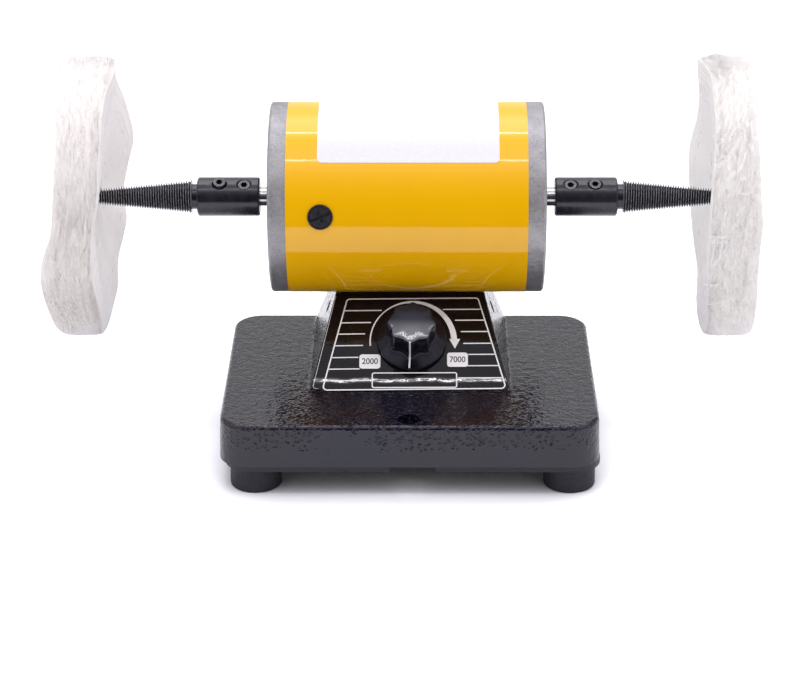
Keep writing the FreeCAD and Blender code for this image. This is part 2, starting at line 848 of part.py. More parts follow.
def race_groove(centre_x):
    """The space swept by the balls, with their play, as a torus."""
    pitch = bearing_radii()[0]
    radius = bearing_ball_diameter / 2 + bearing_ball_play
    return Part.makeTorus(pitch, radius, FreeCAD.Vector(centre_x, 0, 0), ALONG_X)


def bearing_outer_ring(centre_x):
    land = bearing_radii()[2]
    half = bearing_width / 2
    body = ring(bearing_outer_diameter / 2, land, centre_x - half, centre_x + half)
    return body.cut(race_groove(centre_x))


def bearing_inner_ring(centre_x):
    land = bearing_radii()[1]
    half = bearing_width / 2
    body = ring(land, shaft_diameter / 2 + press_fit_gap, centre_x - half, centre_x + half)
    return body.cut(race_groove(centre_x))


def bearing_balls(centre_x, radius):
    pitch = bearing_radii()[0]
    balls = []
    for i in range(bearing_ball_count):
        elevation = FULL_TURN * (i + bearing_ball_start_share) / bearing_ball_count
        balls.append(Part.makeSphere(radius, on_circle(centre_x, pitch, elevation)))
    return balls


def bearing_cage(centre_x):
    """Thin ring with a pocket for each ball."""
    pitch = bearing_radii()[0]
    half_width = bearing_cage_width / 2
    half_thickness = bearing_cage_thickness / 2
    cage = ring(pitch + half_thickness, pitch - half_thickness, centre_x - half_width, centre_x + half_width)
    return cage.cut(bearing_balls(centre_x, bearing_ball_diameter / 2 + bearing_ball_play))


def bearing_shields(centre_x):
    """The two thin covers of a bearing, held in its outer ring."""
    _, inner_land, outer_land = bearing_radii()
    shields = []
    for side in (-1, 1):
        outer_x = centre_x + side * (bearing_width / 2 - shield_thickness)
        inner_x = outer_x - side * shield_thickness
        shields.append(ring(outer_land - press_fit_gap, inner_land + shield_inner_gap,
                            min(outer_x, inner_x), max(outer_x, inner_x)))
    return shields


def preload_washer():
    return ring(bearing_outer_diameter / 2 - screw_clearance, bearing_radii()[2],
                bearing_seat_end_x - washer_preload_thickness, bearing_seat_end_x)


# ------------------------------------------------------------------ magnets

def magnet_segment(elevation):
    start_x = armature_centre_x - magnet_length / 2
    return sector_ring(magnet_outer_radius, magnet_inner_radius, start_x, start_x + magnet_length,
                       elevation, magnet_span_angle)


def magnet_clip(elevation):
    """Spring clip in the gap between the magnets: a bowed strip with a leg against each magnet."""
    gap_span = HALF_TURN - magnet_span_angle - 2 * glue_gap
    end_x = clip_start_x + clip_width
    strip = sector_ring(magnet_outer_radius, magnet_outer_radius - clip_thickness, clip_start_x, end_x,
                        elevation, gap_span)
    legs = []
    for side in (-1, 1):
        middle = elevation + side * (gap_span - clip_leg_angle) / 2
        legs.append(sector_ring(magnet_outer_radius, magnet_inner_radius + air_gap, clip_start_x, end_x,
                                middle, clip_leg_angle))
    return strip.fuse(legs).removeSplitter()


# ------------------------------------------------------------------ rotor

def motor_shaft():
    """Shaft with bearing shoulders, and a flat under each arbor's set screws."""
    end = shaft_diameter / 2
    core = shaft_core_diameter / 2
    tip = end - shaft_end_chamfer
    outline = [
        (-shaft_end_x, 0), (-shaft_end_x, tip), (-shaft_end_x + shaft_end_chamfer, end),
        (bearing_shoulder_left_x, end), (bearing_shoulder_left_x, core),
        (bearing_shoulder_right_x, core), (bearing_shoulder_right_x, end),
        (shaft_end_x - shaft_end_chamfer, end), (shaft_end_x, tip), (shaft_end_x, 0),
    ]
    shaft = turned(outline)
    flat_z = end - set_screw_flat_depth
    flat_start_x = set_screw_places[0] - m5_diameter / 2 - screw_clearance
    flat = block((flat_start_x, shaft_end_x), (-end, end), (flat_z, end + 1))
    for cutter in (flat, mirrored(flat)):
        shaft = shaft.cut(towards(cutter, set_screw_angle))
    return shaft


def armature_core():
    """Stack of laminations with a slot for each coil."""
    core = ring(armature_radius, shaft_core_diameter / 2 + press_fit_gap, armature_start_x, armature_end_x)
    slots = []
    for i in range(armature_slot_count):
        half = armature_slot_width / 2
        mouth = armature_slot_mouth / 2
        tip_radius = armature_radius - armature_tooth_tip
        x_range = (armature_start_x, armature_end_x)
        slot = block(x_range, (-half, half), (armature_slot_floor_radius, tip_radius))
        slot = slot.fuse(block(x_range, (-mouth, mouth), (tip_radius, armature_radius + 1)))
        slots.append(towards(slot, FULL_TURN * i / armature_slot_count))
    return core.cut(slots)


def armature_windings():
    """Coil sides in the slots, joined by the rounded end turns on both sides of the core."""
    half = armature_slot_width / 2 - winding_fit
    top = armature_radius - armature_tooth_tip - winding_fit
    bottom = armature_slot_floor_radius + winding_fit
    reach = winding_overhang / 2
    bars = []
    for i in range(armature_slot_count):
        bar = block((armature_start_x - reach, armature_end_x + reach), (-half, half), (bottom, top))
        bars.append(towards(bar, FULL_TURN * i / armature_slot_count))
    ends = []
    for side, face_x in ((-1, armature_start_x - winding_fit), (1, armature_end_x + winding_fit)):
        outer_x = face_x + side * winding_overhang
        end_turns = ring(winding_end_radius, winding_hub_radius, min(face_x, outer_x), max(face_x, outer_x))
        outer_edges = [edge for edge in end_turns.Edges
                       if edge.Curve.TypeId == "Part::GeomCircle" and abs(edge.Curve.Center.x - outer_x) < 1e-6]
        ends.append(end_turns.makeFillet(winding_rounding, outer_edges))
    return ends[0].multiFuse(ends[1:] + bars)


def commutator():
    """Copper ring cut into bars, with a riser at the winding end."""
    inner = commutator_radius - commutator_wall
    body = ring(commutator_radius, inner, commutator_start_x, commutator_end_x)
    riser = ring(commutator_radius + riser_height, inner, commutator_end_x, commutator_end_x + riser_length)
    body = body.fuse(riser).removeSplitter()
    slots = []
    for i in range(commutator_bar_count):
        half = commutator_slot_width / 2
        slot = block((commutator_start_x, commutator_end_x + riser_length), (-half, half),
                     (commutator_radius - commutator_slot_depth, commutator_radius + riser_height + 1))
        slots.append(towards(slot, FULL_TURN * i / commutator_bar_count))
    return body.cut(slots)


def commutator_hub():
    return ring(commutator_radius - commutator_wall - press_fit_gap, shaft_core_diameter / 2 + press_fit_gap,
                commutator_start_x, commutator_end_x + riser_length)


# ------------------------------------------------------------------ brush gear

def at_brush(shape, elevation):
    """Carries a shape built along +Z to a brush's axis in the motor."""
    placed = towards(shape, elevation)
    placed.translate(FreeCAD.Vector(brush_axis_x, 0, 0))
    return at_motor(placed)


def cap_top_radius():
    return tube_radius + holder_proud - cap_recess


def brush_holder():
    """Insulating sleeve through the tube wall, wider inside at its outer end for the cap."""
    outer_end = tube_radius + holder_proud
    cap_seat = cap_top_radius() - cap_length
    sleeve = post(holder_diameter / 2, holder_inner_radius, outer_end)
    sleeve = sleeve.cut(post(guide_diameter / 2 + press_fit_gap, holder_inner_radius, cap_seat))
    return sleeve.cut(post(cap_diameter / 2 + thread_fit, cap_seat, outer_end))


def brush_guide():
    """Brass tube with a rectangular channel for the carbon brush."""
    start = guide_inner_radius
    end = cap_top_radius() - cap_length
    x_half = brush_width / 2 + brush_side_play
    y_half = brush_thickness / 2 + brush_side_play
    return post(guide_diameter / 2, start, end).cut(block((-x_half, x_half), (-y_half, y_half), (start, end)))


def brush_cap():
    """Screw cap with a long and a short slot crossing in its face."""
    top = cap_top_radius()
    cap = post(cap_diameter / 2, top - cap_length, top)
    rim = [edge for edge in cap.Edges
           if edge.Curve.TypeId == "Part::GeomCircle" and abs(edge.Curve.Center.z - top) < 1e-6]
    cap = cap.makeFillet(cap_slot_width / 2, rim)
    half = cap_slot_width / 2
    long_half = cap_diameter / 2
    short_half = long_half * cap_cross_slot_share
    z_range = (top - cap_slot_depth, top)
    slots = block((-long_half, long_half), (-half, half), z_range)
    slots = slots.fuse(block((-half, half), (-short_half, short_half), z_range))
    slots.rotate(ORIGIN, UP, cap_slot_angle)
    return cap.cut(slots)


def carbon_brush():
    """Rectangular brush whose end is hollowed to the commutator's radius."""
    start = commutator_radius
    brush = block((-brush_width / 2, brush_width / 2), (-brush_thickness / 2, brush_thickness / 2),
                  (start, start + brush_air_gap + brush_length))
    return brush.cut(rod(commutator_radius + brush_air_gap, -brush_width, brush_width))


def brush_spring():
    """Coil spring between the brush and its cap."""
    wire = spring_wire_diameter / 2
    start = commutator_radius + brush_air_gap + brush_length + spring_end_gap + wire
    end = cap_top_radius() - cap_length - spring_end_gap - wire
    coil_radius = spring_coil_diameter / 2
    path = Part.makeHelix((end - start) / spring_turns, end - start, coil_radius)
    section = Part.Wire(Part.makeCircle(wire, FreeCAD.Vector(coil_radius, 0, 0), FreeCAD.Vector(0, 1, 0)))
    spring = Part.Wire(path).makePipeShell([section], True, True)
    spring.translate(UP * start)
    return spring


# ------------------------------------------------------------------ arbors and buffs

def taper_radius(x):
    """Crest radius of the tapered thread at a distance from the motor's middle."""
    fall = (taper_large_diameter - taper_small_diameter) / 2 / taper_length
    return taper_large_diameter / 2 - fall * (x - taper_start_x)


def arbor_body():
    """Right-hand arbor: bored sleeve, neck, and a taper ringed by thread grooves."""
    sleeve = sleeve_diameter / 2
    bore = shaft_diameter / 2 + sleeve_bore_fit
    bore_end_x = arbor_start_x + sleeve_bore_depth
    outline = [
        (bore_end_x, 0), (bore_end_x, bore), (arbor_start_x, bore),
        (arbor_start_x, sleeve - sleeve_chamfer), (arbor_start_x + sleeve_chamfer, sleeve),
        (sleeve_end_x - sleeve_chamfer, sleeve), (sleeve_end_x, sleeve - sleeve_chamfer),
        (sleeve_end_x, neck_diameter / 2), (taper_start_x, neck_diameter / 2),
    ]
    groove_count = int((taper_length - taper_tip_length) / taper_thread_pitch)
    for i in range(groove_count):
        crest_x = taper_start_x + i * taper_thread_pitch
        root_x = crest_x + taper_thread_pitch / 2
        outline.append((crest_x, taper_radius(crest_x)))
        outline.append((root_x, taper_radius(root_x) - taper_thread_depth))
    last_x = taper_start_x + groove_count * taper_thread_pitch
    outline.append((last_x, taper_radius(last_x)))
    outline.append((taper_end_x, taper_radius(taper_end_x) - taper_tip_length))
    outline.append((taper_end_x, 0))
    return turned(outline)


def arbor(side):
    """An arbor with its two tapped and countersunk set screw holes."""
    body = arbor_body()
    surface = sleeve_diameter / 2
    seat = set_screw_seat_diameter / 2
    for place in set_screw_places:
        hole = post(m5_diameter / 2 + thread_fit, 0, surface + 1)
        countersink = Part.makeCone(seat - set_screw_seat_depth, seat, set_screw_seat_depth,
                                    FreeCAD.Vector(0, 0, surface - set_screw_seat_depth), UP)
        cutter = hole.fuse([countersink, post(seat, surface, surface + 1)])
        cutter = towards(cutter, set_screw_angle)
        cutter.translate(ALONG_X * place)
        body = body.cut(cutter)
    return body if side > 0 else mirrored(body)


def set_screw(side, place, proud):
    """Socket set screw, flush unless it stands proud of the sleeve."""
    bottom = shaft_diameter / 2 - set_screw_flat_depth + press_fit_gap
    top = bottom + set_screw_length + proud
    screw = post(m5_diameter / 2, bottom, top)
    screw = screw.cut(hexagon(set_screw_socket_width, top - set_screw_socket_depth, top))
    screw = towards(screw, set_screw_angle)
    screw.translate(ALONG_X * side * place)
    return screw


def arbor_set_screws():
    screws = []
    for side in (-1, 1):
        for place in set_screw_places:
            proud = 0.0
            if place == set_screw_places[1]:
                proud = left_set_screw_proud if side < 0 else right_set_screw_proud
            screws.append(at_motor(set_screw(side, place, proud)))
    return screws


def buff(side):
    """Sewn cotton wheel: thin at its hub, fanning out to a wide soft rim."""
    hub_outer_x = buff_hub_inner_x + buff_hub_width
    rim_outer_x = buff_rim_inner_x + buff_rim_width
    hub = buff_hub_diameter / 2
    rim_start = buff_radius * buff_rim_start_share
    edge = buff_radius - buff_rim_rounding
    hole_inner = taper_radius(buff_hub_inner_x) + buff_hole_fit
    hole_outer = taper_radius(hub_outer_x) + buff_hole_fit

    def flank(hub_x, rim_x):
        curve = Part.BSplineCurve()
        points = [(hub_x, hub), ((hub_x + rim_x) / 2, (hub + rim_start) / 2), (rim_x, rim_start)]
        curve.interpolate([FreeCAD.Vector(x, 0, radius) for x, radius in points],
                          InitialTangent=FreeCAD.Vector(0, 0, 1), FinalTangent=FreeCAD.Vector(0, 0, 1))
        return curve.toShape()

    def line(start, end):
        ends = [FreeCAD.Vector(x, 0, radius) for x, radius in (start, end)]
        return Part.LineSegment(*ends).toShape()

    rounding = buff_rim_rounding
    edges = [
        line((buff_hub_inner_x, hole_inner), (buff_hub_inner_x, hub)),
        flank(buff_hub_inner_x, buff_rim_inner_x),
        line((buff_rim_inner_x, rim_start), (buff_rim_inner_x, edge)),
        line((buff_rim_inner_x, edge), (buff_rim_inner_x + rounding, buff_radius)),
        line((buff_rim_inner_x + rounding, buff_radius), (rim_outer_x - rounding, buff_radius)),
        line((rim_outer_x - rounding, buff_radius), (rim_outer_x, edge)),
        line((rim_outer_x, edge), (rim_outer_x, rim_start)),
        flank(hub_outer_x, rim_outer_x),
        line((hub_outer_x, hub), (hub_outer_x, hole_outer)),
        line((hub_outer_x, hole_outer), (buff_hub_inner_x, hole_inner)),
    ]
    wheel = Part.Face(Part.Wire(Part.__sortEdges__(edges))).revolve(ORIGIN, ALONG_X, FULL_TURN)
    return wheel if side > 0 else mirrored(wheel)


# ------------------------------------------------------------------ control panel and knob

def panel_half_width(up_slope):
    """Half the width of the pedestal's front wall, at a distance up its slope."""
    return pedestal_width / 2 - cheek_draft * math.sin(math.radians(panel_angle)) * up_slope


def panel_overlay():
    """Trapezoid overlay glued to the sloping wall, cut out for the potentiometer's bush."""
    start, end = overlay_foot_margin, overlay_foot_margin + overlay_length
    low = panel_half_width(start) - overlay_side_margin
    high = panel_half_width(end) - overlay_side_margin
    corners = [FreeCAD.Vector(-low, start, 0), FreeCAD.Vector(low, start, 0),
               FreeCAD.Vector(high, end, 0), FreeCAD.Vector(-high, end, 0)]
    sheet = Part.Face(Part.makePolygon(corners + corners[:1])).extrude(UP * overlay_thickness)
    upright = [edge for edge in sheet.Edges if abs(edge.tangentAt(edge.FirstParameter).z) > 0.99]
    sheet = sheet.makeFillet(overlay_corner_radius, upright)
    bush_hole = post(pot_bush_diameter / 2 + screw_clearance, 0, overlay_thickness, knob_shift_x, knob_up_slope)
    sheet = sheet.cut(bush_hole)
    sheet.rotate(ORIGIN, ALONG_X, panel_angle)
    sheet.translate(panel_foot)
    return sheet


def speed_knob():
    """Skirted knob with a lobed grip, hollow below for the nut, bored for the shaft."""
    base = overlay_thickness + knob_gap
    top = base + knob_height
    skirt = knob_diameter / 2
    grip = knob_grip_diameter / 2
    skirt_top = base + knob_skirt_edge + knob_skirt_rise
    outline = [
        (0, base), (skirt, base), (skirt, base + knob_skirt_edge),
        (grip, skirt_top), (grip, top - knob_top_chamfer), (grip - knob_top_chamfer, top), (0, top),
    ]
    knob = turned(outline, UP)
    scallop_radius = math.pi * grip / knob_lobe_count / 2
    scallops = []
    for i in range(knob_lobe_count):
        angle = math.radians(FULL_TURN * (i + 0.5) / knob_lobe_count)
        reach = grip + scallop_radius - knob_lobe_depth
        x, y = reach * math.sin(angle), -reach * math.cos(angle)
        scallops.append(post(scallop_radius, skirt_top, top + 1, x, y))
    knob = knob.cut(scallops)
    bore = post(pot_shaft_diameter / 2 + press_fit_gap, base, base + knob_bore_depth)
    recess = post(knob_recess_diameter / 2, base, base + knob_recess_depth)
    return knob.cut([bore, recess, knob_screw_hole(m3_diameter / 2 + thread_fit)])


def knob_screw_hole(radius, inner=0.0, outer=None):
    """A round bar from the knob's bore out through the uphill side of its grip."""
    outer = knob_grip_diameter if outer is None else outer
    height = overlay_thickness + knob_gap + knob_screw_height
    return Part.makeCylinder(radius, outer - inner, FreeCAD.Vector(0, inner, height), FreeCAD.Vector(0, 1, 0))


def knob_set_screw():
    inner = pot_shaft_diameter / 2 + press_fit_gap
    return knob_screw_hole(m3_diameter / 2, inner, knob_grip_diameter / 2 - knob_lobe_depth)


def pot_body_top():
    return -pedestal_wall


def potentiometer():
    """Body, switch and threaded bush of the potentiometer, clamped to the sloping wall."""
    top = pot_body_top()
    body = post(pot_body_diameter / 2, top - pot_body_length, top)
    switch = post(pot_body_diameter / 2 - 1, top - pot_body_length - switch_body_length, top - pot_body_length)
    bush = post(pot_bush_diameter / 2, top, overlay_thickness + pot_bush_proud)
    shaft_hole = post(pot_shaft_diameter / 2 + pot_shaft_fit, top - pot_body_length / 2,
                      overlay_thickness + pot_bush_proud)
    return body.fuse([switch, bush]).removeSplitter().cut(shaft_hole)


def potentiometer_shaft():
    start = pot_body_top() - pot_body_length / 2 + screw_clearance
    end = overlay_thickness + knob_gap + knob_bore_depth - screw_clearance
    return post(pot_shaft_diameter / 2, start, end)


def potentiometer_washer():
    bottom = overlay_thickness
    washer = post(pot_washer_diameter / 2, bottom, bottom + pot_washer_thickness)
    return washer.cut(post(pot_bush_diameter / 2 + screw_clearance, bottom, bottom + pot_washer_thickness))


def potentiometer_nut():
    bottom = overlay_thickness + pot_washer_thickness
    nut = hexagon(pot_nut_width, bottom, bottom + pot_nut_height)
    return nut.cut(post(pot_bush_diameter / 2 + thread_fit, bottom, bottom + pot_nut_height))


# ------------------------------------------------------------------ speed control board

def board_screw_places():
    x = board_width / 2 - board_hole_inset
    y = board_depth / 2 - board_hole_inset
    return [(side_x * x, board_centre_y + side_y * y) for side_x in (-1, 1) for side_y in (-1, 1)]


def on_board(width, depth, height, x, y):
    """A block-shaped component standing on the board."""
    bottom = board_top_z + part_gap
    return block((x - width / 2, x + width / 2), (y - depth / 2, y + depth / 2), (bottom, bottom + height))


def control_board():
    bottom = board_top_z - board_thickness
    board = block((-board_width / 2, board_width / 2),
                  (board_centre_y - board_depth / 2, board_centre_y + board_depth / 2), (bottom, board_top_z))
    hole_radius = m3_diameter / 2 + screw_clearance
    holes = [post(hole_radius, bottom, board_top_z, x, y) for x, y in board_screw_places()]
    return board.cut(holes)


def board_standoff(x, y):
    top = board_top_z - board_thickness
    tube = post(standoff_diameter / 2, slab_bottom_z, top, x, y)
    return tube.cut(post(m3_diameter / 2 + thread_fit, slab_bottom_z, top, x, y))


def board_screw(x, y):
    return pan_screw(m3_diameter, board_top_z, cover_bottom_z + thread_fit, x, y)


def heat_sink():
    """Upright aluminium plate with fins towards the rear."""
    plate_y = board_rear_row_y - heat_sink_depth / 2 + heat_sink_plate / 2
    sink = on_board(heat_sink_width, heat_sink_plate, heat_sink_height, heat_sink_x, plate_y)
    fin_pitch = (heat_sink_width - heat_sink_plate) / (heat_sink_fin_count - 1)
    fins = []
    for i in range(heat_sink_fin_count):
        x = heat_sink_x - heat_sink_width / 2 + heat_sink_plate / 2 + i * fin_pitch
        fins.append(on_board(heat_sink_plate, heat_sink_depth, heat_sink_height, x, board_rear_row_y))
    return sink.fuse(fins).removeSplitter()


def power_triac():
    y = board_rear_row_y - heat_sink_depth / 2 - triac_thickness / 2 - part_gap
    return on_board(triac_width, triac_thickness, triac_height, heat_sink_x, y)


def bridge_rectifier():
    return on_board(rectifier_width, rectifier_depth, rectifier_height, rectifier_x, board_rear_row_y)


def suppression_capacitor():
    return on_board(capacitor_width, capacitor_depth, capacitor_height, capacitor_x, board_middle_row_y)


def filter_choke():
    bottom = board_top_z + part_gap
    choke = post(choke_outer_diameter / 2, bottom, bottom + choke_height, choke_x, board_middle_row_y)
    return choke.cut(post(choke_inner_diameter / 2, bottom, bottom + choke_height, choke_x, board_middle_row_y))


def fuse_axis_z():
    return board_top_z + fuse_diameter / 2 + 1.0


def board_fuse_tube():
    """Glass fuse lying along X between its two end caps."""
    glass = rod(fuse_diameter / 2 - fuse_cap_thickness, fuse_cap_length, fuse_length - fuse_cap_length)
    glass.translate(FreeCAD.Vector(fuse_x, board_front_row_y, fuse_axis_z()))
    return glass


def board_fuse_clips():
    """End caps of the fuse, each in a clip that stands on the board."""
    clips = []
    for start in (0, fuse_length - fuse_cap_length):
        cap = rod(fuse_diameter / 2, start, start + fuse_cap_length)
        foot = block((start, start + fuse_cap_length), (-fuse_diameter / 4, fuse_diameter / 4),
                     (board_top_z + part_gap - fuse_axis_z(), 0))
        clip = cap.fuse(foot).removeSplitter()
        clip.translate(FreeCAD.Vector(fuse_x, board_front_row_y, fuse_axis_z()))
        clips.append(clip)
    return clips


def terminal_block():
    """Screw terminals with a round well over each screw."""
    width = terminal_count * terminal_pitch
    body = on_board(width, terminal_depth, terminal_height, terminal_x, board_front_row_y)
    top = board_top_z + part_gap + terminal_height
    wells = []
    for i in range(terminal_count):
        x = terminal_x - width / 2 + (i + 0.5) * terminal_pitch
        wells.append(post(terminal_pitch * 0.32, top - terminal_height / 3, top, x, board_front_row_y))
    return body.cut(wells)


# ------------------------------------------------------------------ motor mounting and wiring

def mounting_screw(side):
    seat_z = mount_seat_z() - spring_washer_thickness
    tip_z = axis_z - tube_bore_radius + mount_screw_reach
    return pan_screw(m5_diameter, seat_z, tip_z, side * mount_screw_x, axis_y)


def spring_washer(side):
    """Split washer under a mounting screw's head."""
    bottom = mount_seat_z() - spring_washer_thickness
    x = side * mount_screw_x
    washer = post(m5_diameter * head_diameter_ratio / 2, bottom, mount_seat_z(), x, axis_y)
    washer = washer.cut(post(m5_diameter / 2 + screw_clearance, bottom, mount_seat_z(), x, axis_y))
    split = block((x, x + m5_diameter * 2), (axis_y - screw_clearance, axis_y + screw_clearance),
                  (bottom, mount_seat_z()))
    return washer.cut(split)


def lead_bush():
    """Rubber bush that lines the lead hole through the saddle and the tube."""
    outer = lead_hole_diameter / 2 - press_fit_gap
    low = axis_z - saddle_floor_radius - lead_bush_lip
    high = axis_z - tube_bore_radius + lead_bush_lip
    body = post(outer, low, high, lead_hole_x, axis_y)
    return body.cut(post(outer - lead_bush_wall, low, high, lead_hole_x, axis_y))


def terminal_well(index):
    """The floor of one screw well of the terminal block, from the motor's middle."""
    width = terminal_count * terminal_pitch
    x = base_offset_x + terminal_x - width / 2 + (index + 0.5) * terminal_pitch
    top = board_top_z + part_gap + terminal_height
    return FreeCAD.Vector(x, board_front_row_y, top - terminal_height / 3 + part_gap)


def motor_lead(guide_elevation, gap_elevation, offset, well_index):
    """One insulated lead: from a brush guide to the gap under the rotor, out by the bush, to a terminal."""
    start_x = brush_axis_x - guide_diameter / 2 - part_gap
    turn_x = commutator_start_x - 1.5 * lead_diameter
    start_radius = (guide_inner_radius + holder_inner_radius) / 2
    run_radius = magnet_outer_radius - lead_diameter
    points = [on_circle(start_x, start_radius, guide_elevation)]
    for i in range(lead_bend_steps + 1):
        share = i / lead_bend_steps
        reach = start_radius + (run_radius - start_radius) * share
        points.append(on_circle(turn_x, reach, guide_elevation + (gap_elevation - guide_elevation) * share))
    bush_x = lead_hole_x + offset
    points.append(on_circle(bush_x, run_radius, gap_elevation))
    points = [point + FreeCAD.Vector(0, axis_y, axis_z) for point in points]
    well = terminal_well(well_index)
    points.append(FreeCAD.Vector(bush_x, axis_y, axis_z - tube_bore_radius + 1.5 * lead_diameter))
    points.append(FreeCAD.Vector(bush_x, axis_y, axis_z - saddle_floor_radius - 2 * lead_bush_lip))
    points.append(well + UP * terminal_height)
    points.append(well)
    return wire_run(points, lead_diameter / 2)


def motor_leads():
    """The leads of the front and rear brush, side by side in the gap below the rotor."""
    front = motor_lead(brush_elevation, -QUARTER_TURN + lead_gap_angle, -lead_spacing / 2, 2)
    rear = motor_lead(brush_elevation - HALF_TURN, -QUARTER_TURN - lead_gap_angle, lead_spacing / 2, 3)
    return [front, rear]


def potentiometer_leads():
    """Three short leads from the switch's lower end down to the board."""
    leads = []
    switch_end = pot_body_top() - pot_body_length - switch_body_length
    for i in (-1, 0, 1):
        start = panel_point(FreeCAD.Vector(i * lead_spacing, 0, switch_end))
        bend = panel_point(FreeCAD.Vector(i * lead_spacing, 0, switch_end - 2 * lead_diameter))
        end = FreeCAD.Vector(bend.x, bend.y, board_top_z + part_gap)
        leads.append(wire_run([start, bend, end], lead_diameter / 2))
    return leads


def panel_point(point):
    """A point of the knob's own frame in the object's frame."""
    angle = math.radians(panel_angle)
    y = point.y * math.cos(angle) - point.z * math.sin(angle)
    z = point.y * math.sin(angle) + point.z * math.cos(angle)
    return FreeCAD.Vector(point.x, y, z) + knob_foot()


# ------------------------------------------------------------------ assembly

def build():
    os.makedirs("parts", exist_ok=True)
    save_base("cast_base", cast_base())
    save_base("bottom_cover", bottom_cover())
    save_base("rubber_feet", *[rubber_foot(x, y) for x, y in foot_places()])
    save_base("foot_washers", *[foot_washer(x, y) for x, y in foot_places()])
    save_base("foot_screws", *[foot_screw(x, y) for x, y in foot_places()])
    save_base("cord_bush", cord_bush())

    save("motor_tube", at_motor(motor_tube()))
    save("left_end_bell", at_motor(end_bell(-1)))
    save("right_end_bell", at_motor(end_bell(1)))
    save("data_label", at_motor(data_label()))
    save("through_bolts", *[at_motor(through_bolt(elevation)) for elevation in bolt_places()])
    save("motor_mounting_screws", *[mounting_screw(side) for side in (-1, 1)])
    save("motor_spring_washers", *[spring_washer(side) for side in (-1, 1)])
    save("magnet_segments", *[at_motor(magnet_segment(elevation)) for elevation in (0, HALF_TURN)])
    save("magnet_clips", *[at_motor(magnet_clip(elevation)) for elevation in (QUARTER_TURN, -QUARTER_TURN)])

    bearings = (left_bearing_x, right_bearing_x)
    ball_radius = bearing_ball_diameter / 2
    save("bearing_outer_rings", *[at_motor(bearing_outer_ring(x)) for x in bearings])
    save("bearing_inner_rings", *[at_motor(bearing_inner_ring(x)) for x in bearings])
    save("bearing_balls", *[at_motor(ball) for x in bearings for ball in bearing_balls(x, ball_radius)])
    save("bearing_cages", *[at_motor(bearing_cage(x)) for x in bearings])
    save("bearing_shields", *[at_motor(shield) for x in bearings for shield in bearing_shields(x)])
    save("bearing_preload_washer", at_motor(preload_washer()))

    save("motor_shaft", at_motor(motor_shaft()))
    save("armature_core", at_motor(armature_core()))
    save("armature_windings", at_motor(armature_windings()))
    save("commutator", at_motor(commutator()))
    save("commutator_hub", at_motor(commutator_hub()))

    brushes = (brush_elevation, brush_elevation + HALF_TURN)
    save("brush_holders", *[at_brush(brush_holder(), elevation) for elevation in brushes])
    save("brush_guides", *[at_brush(brush_guide(), elevation) for elevation in brushes])
    save("brush_caps", *[at_brush(brush_cap(), elevation) for elevation in brushes])
    for name, elevation in zip(("front", "rear"), brushes):
        save(name + "_carbon_brush", at_brush(carbon_brush(), elevation))
        save(name + "_brush_spring", at_brush(brush_spring(), elevation))

    for name, side in (("left", -1), ("right", 1)):
        save(name + "_arbor", at_motor(arbor(side)))
        save(name + "_buff", at_motor(buff(side)))
    save("arbor_set_screws", *arbor_set_screws())

    save_base("panel_overlay", panel_overlay())
    save_base("speed_knob", at_panel(speed_knob()))
    save_base("knob_set_screw", at_panel(knob_set_screw()))
    save_base("potentiometer", at_panel(potentiometer()))
    save_base("potentiometer_shaft", at_panel(potentiometer_shaft()))
    save_base("potentiometer_nut", at_panel(potentiometer_nut()))
    save_base("potentiometer_washer", at_panel(potentiometer_washer()))

    save_base("control_board", control_board())
    save_base("board_standoffs", *[board_standoff(x, y) for x, y in board_screw_places()])
    save_base("board_screws", *[board_screw(x, y) for x, y in board_screw_places()])
    save_base("power_triac", power_triac())
    save_base("heat_sink", heat_sink())
    save_base("bridge_rectifier", bridge_rectifier())
    save_base("suppression_capacitor", suppression_capacitor())
    save_base("filter_choke", filter_choke())
    save_base("board_fuse", board_fuse_tube(), *board_fuse_clips())
    save_base("terminal_block", terminal_block())
    save("lead_bush", lead_bush())
    save("motor_leads", *motor_leads())
    save_base("potentiometer_leads", *potentiometer_leads())


build()
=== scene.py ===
import json
import math
import random

import bmesh
import bpy
from mathutils import Matrix, Vector, noise


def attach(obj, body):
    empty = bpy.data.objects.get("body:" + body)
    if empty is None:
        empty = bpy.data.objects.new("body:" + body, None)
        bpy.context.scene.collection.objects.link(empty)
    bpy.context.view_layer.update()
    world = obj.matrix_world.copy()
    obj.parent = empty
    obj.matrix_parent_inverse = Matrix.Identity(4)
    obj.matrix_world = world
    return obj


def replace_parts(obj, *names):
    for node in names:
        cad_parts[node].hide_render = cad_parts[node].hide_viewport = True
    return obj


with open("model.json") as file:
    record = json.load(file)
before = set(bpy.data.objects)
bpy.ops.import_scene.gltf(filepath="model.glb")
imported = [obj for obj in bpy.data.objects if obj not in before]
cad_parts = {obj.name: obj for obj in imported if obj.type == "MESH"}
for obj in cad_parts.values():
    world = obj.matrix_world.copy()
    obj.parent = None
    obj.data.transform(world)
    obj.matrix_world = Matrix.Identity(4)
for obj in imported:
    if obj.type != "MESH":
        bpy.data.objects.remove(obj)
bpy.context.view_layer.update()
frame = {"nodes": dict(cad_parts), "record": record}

# A bench polishing lathe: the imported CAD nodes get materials, and the cotton buffs, the knob, the threaded
# arbors and the print on the panel are built here. Lengths are in metres unless a name ends in _mm or _MM.

MM = 0.001

# -------- places shared with the CAD model

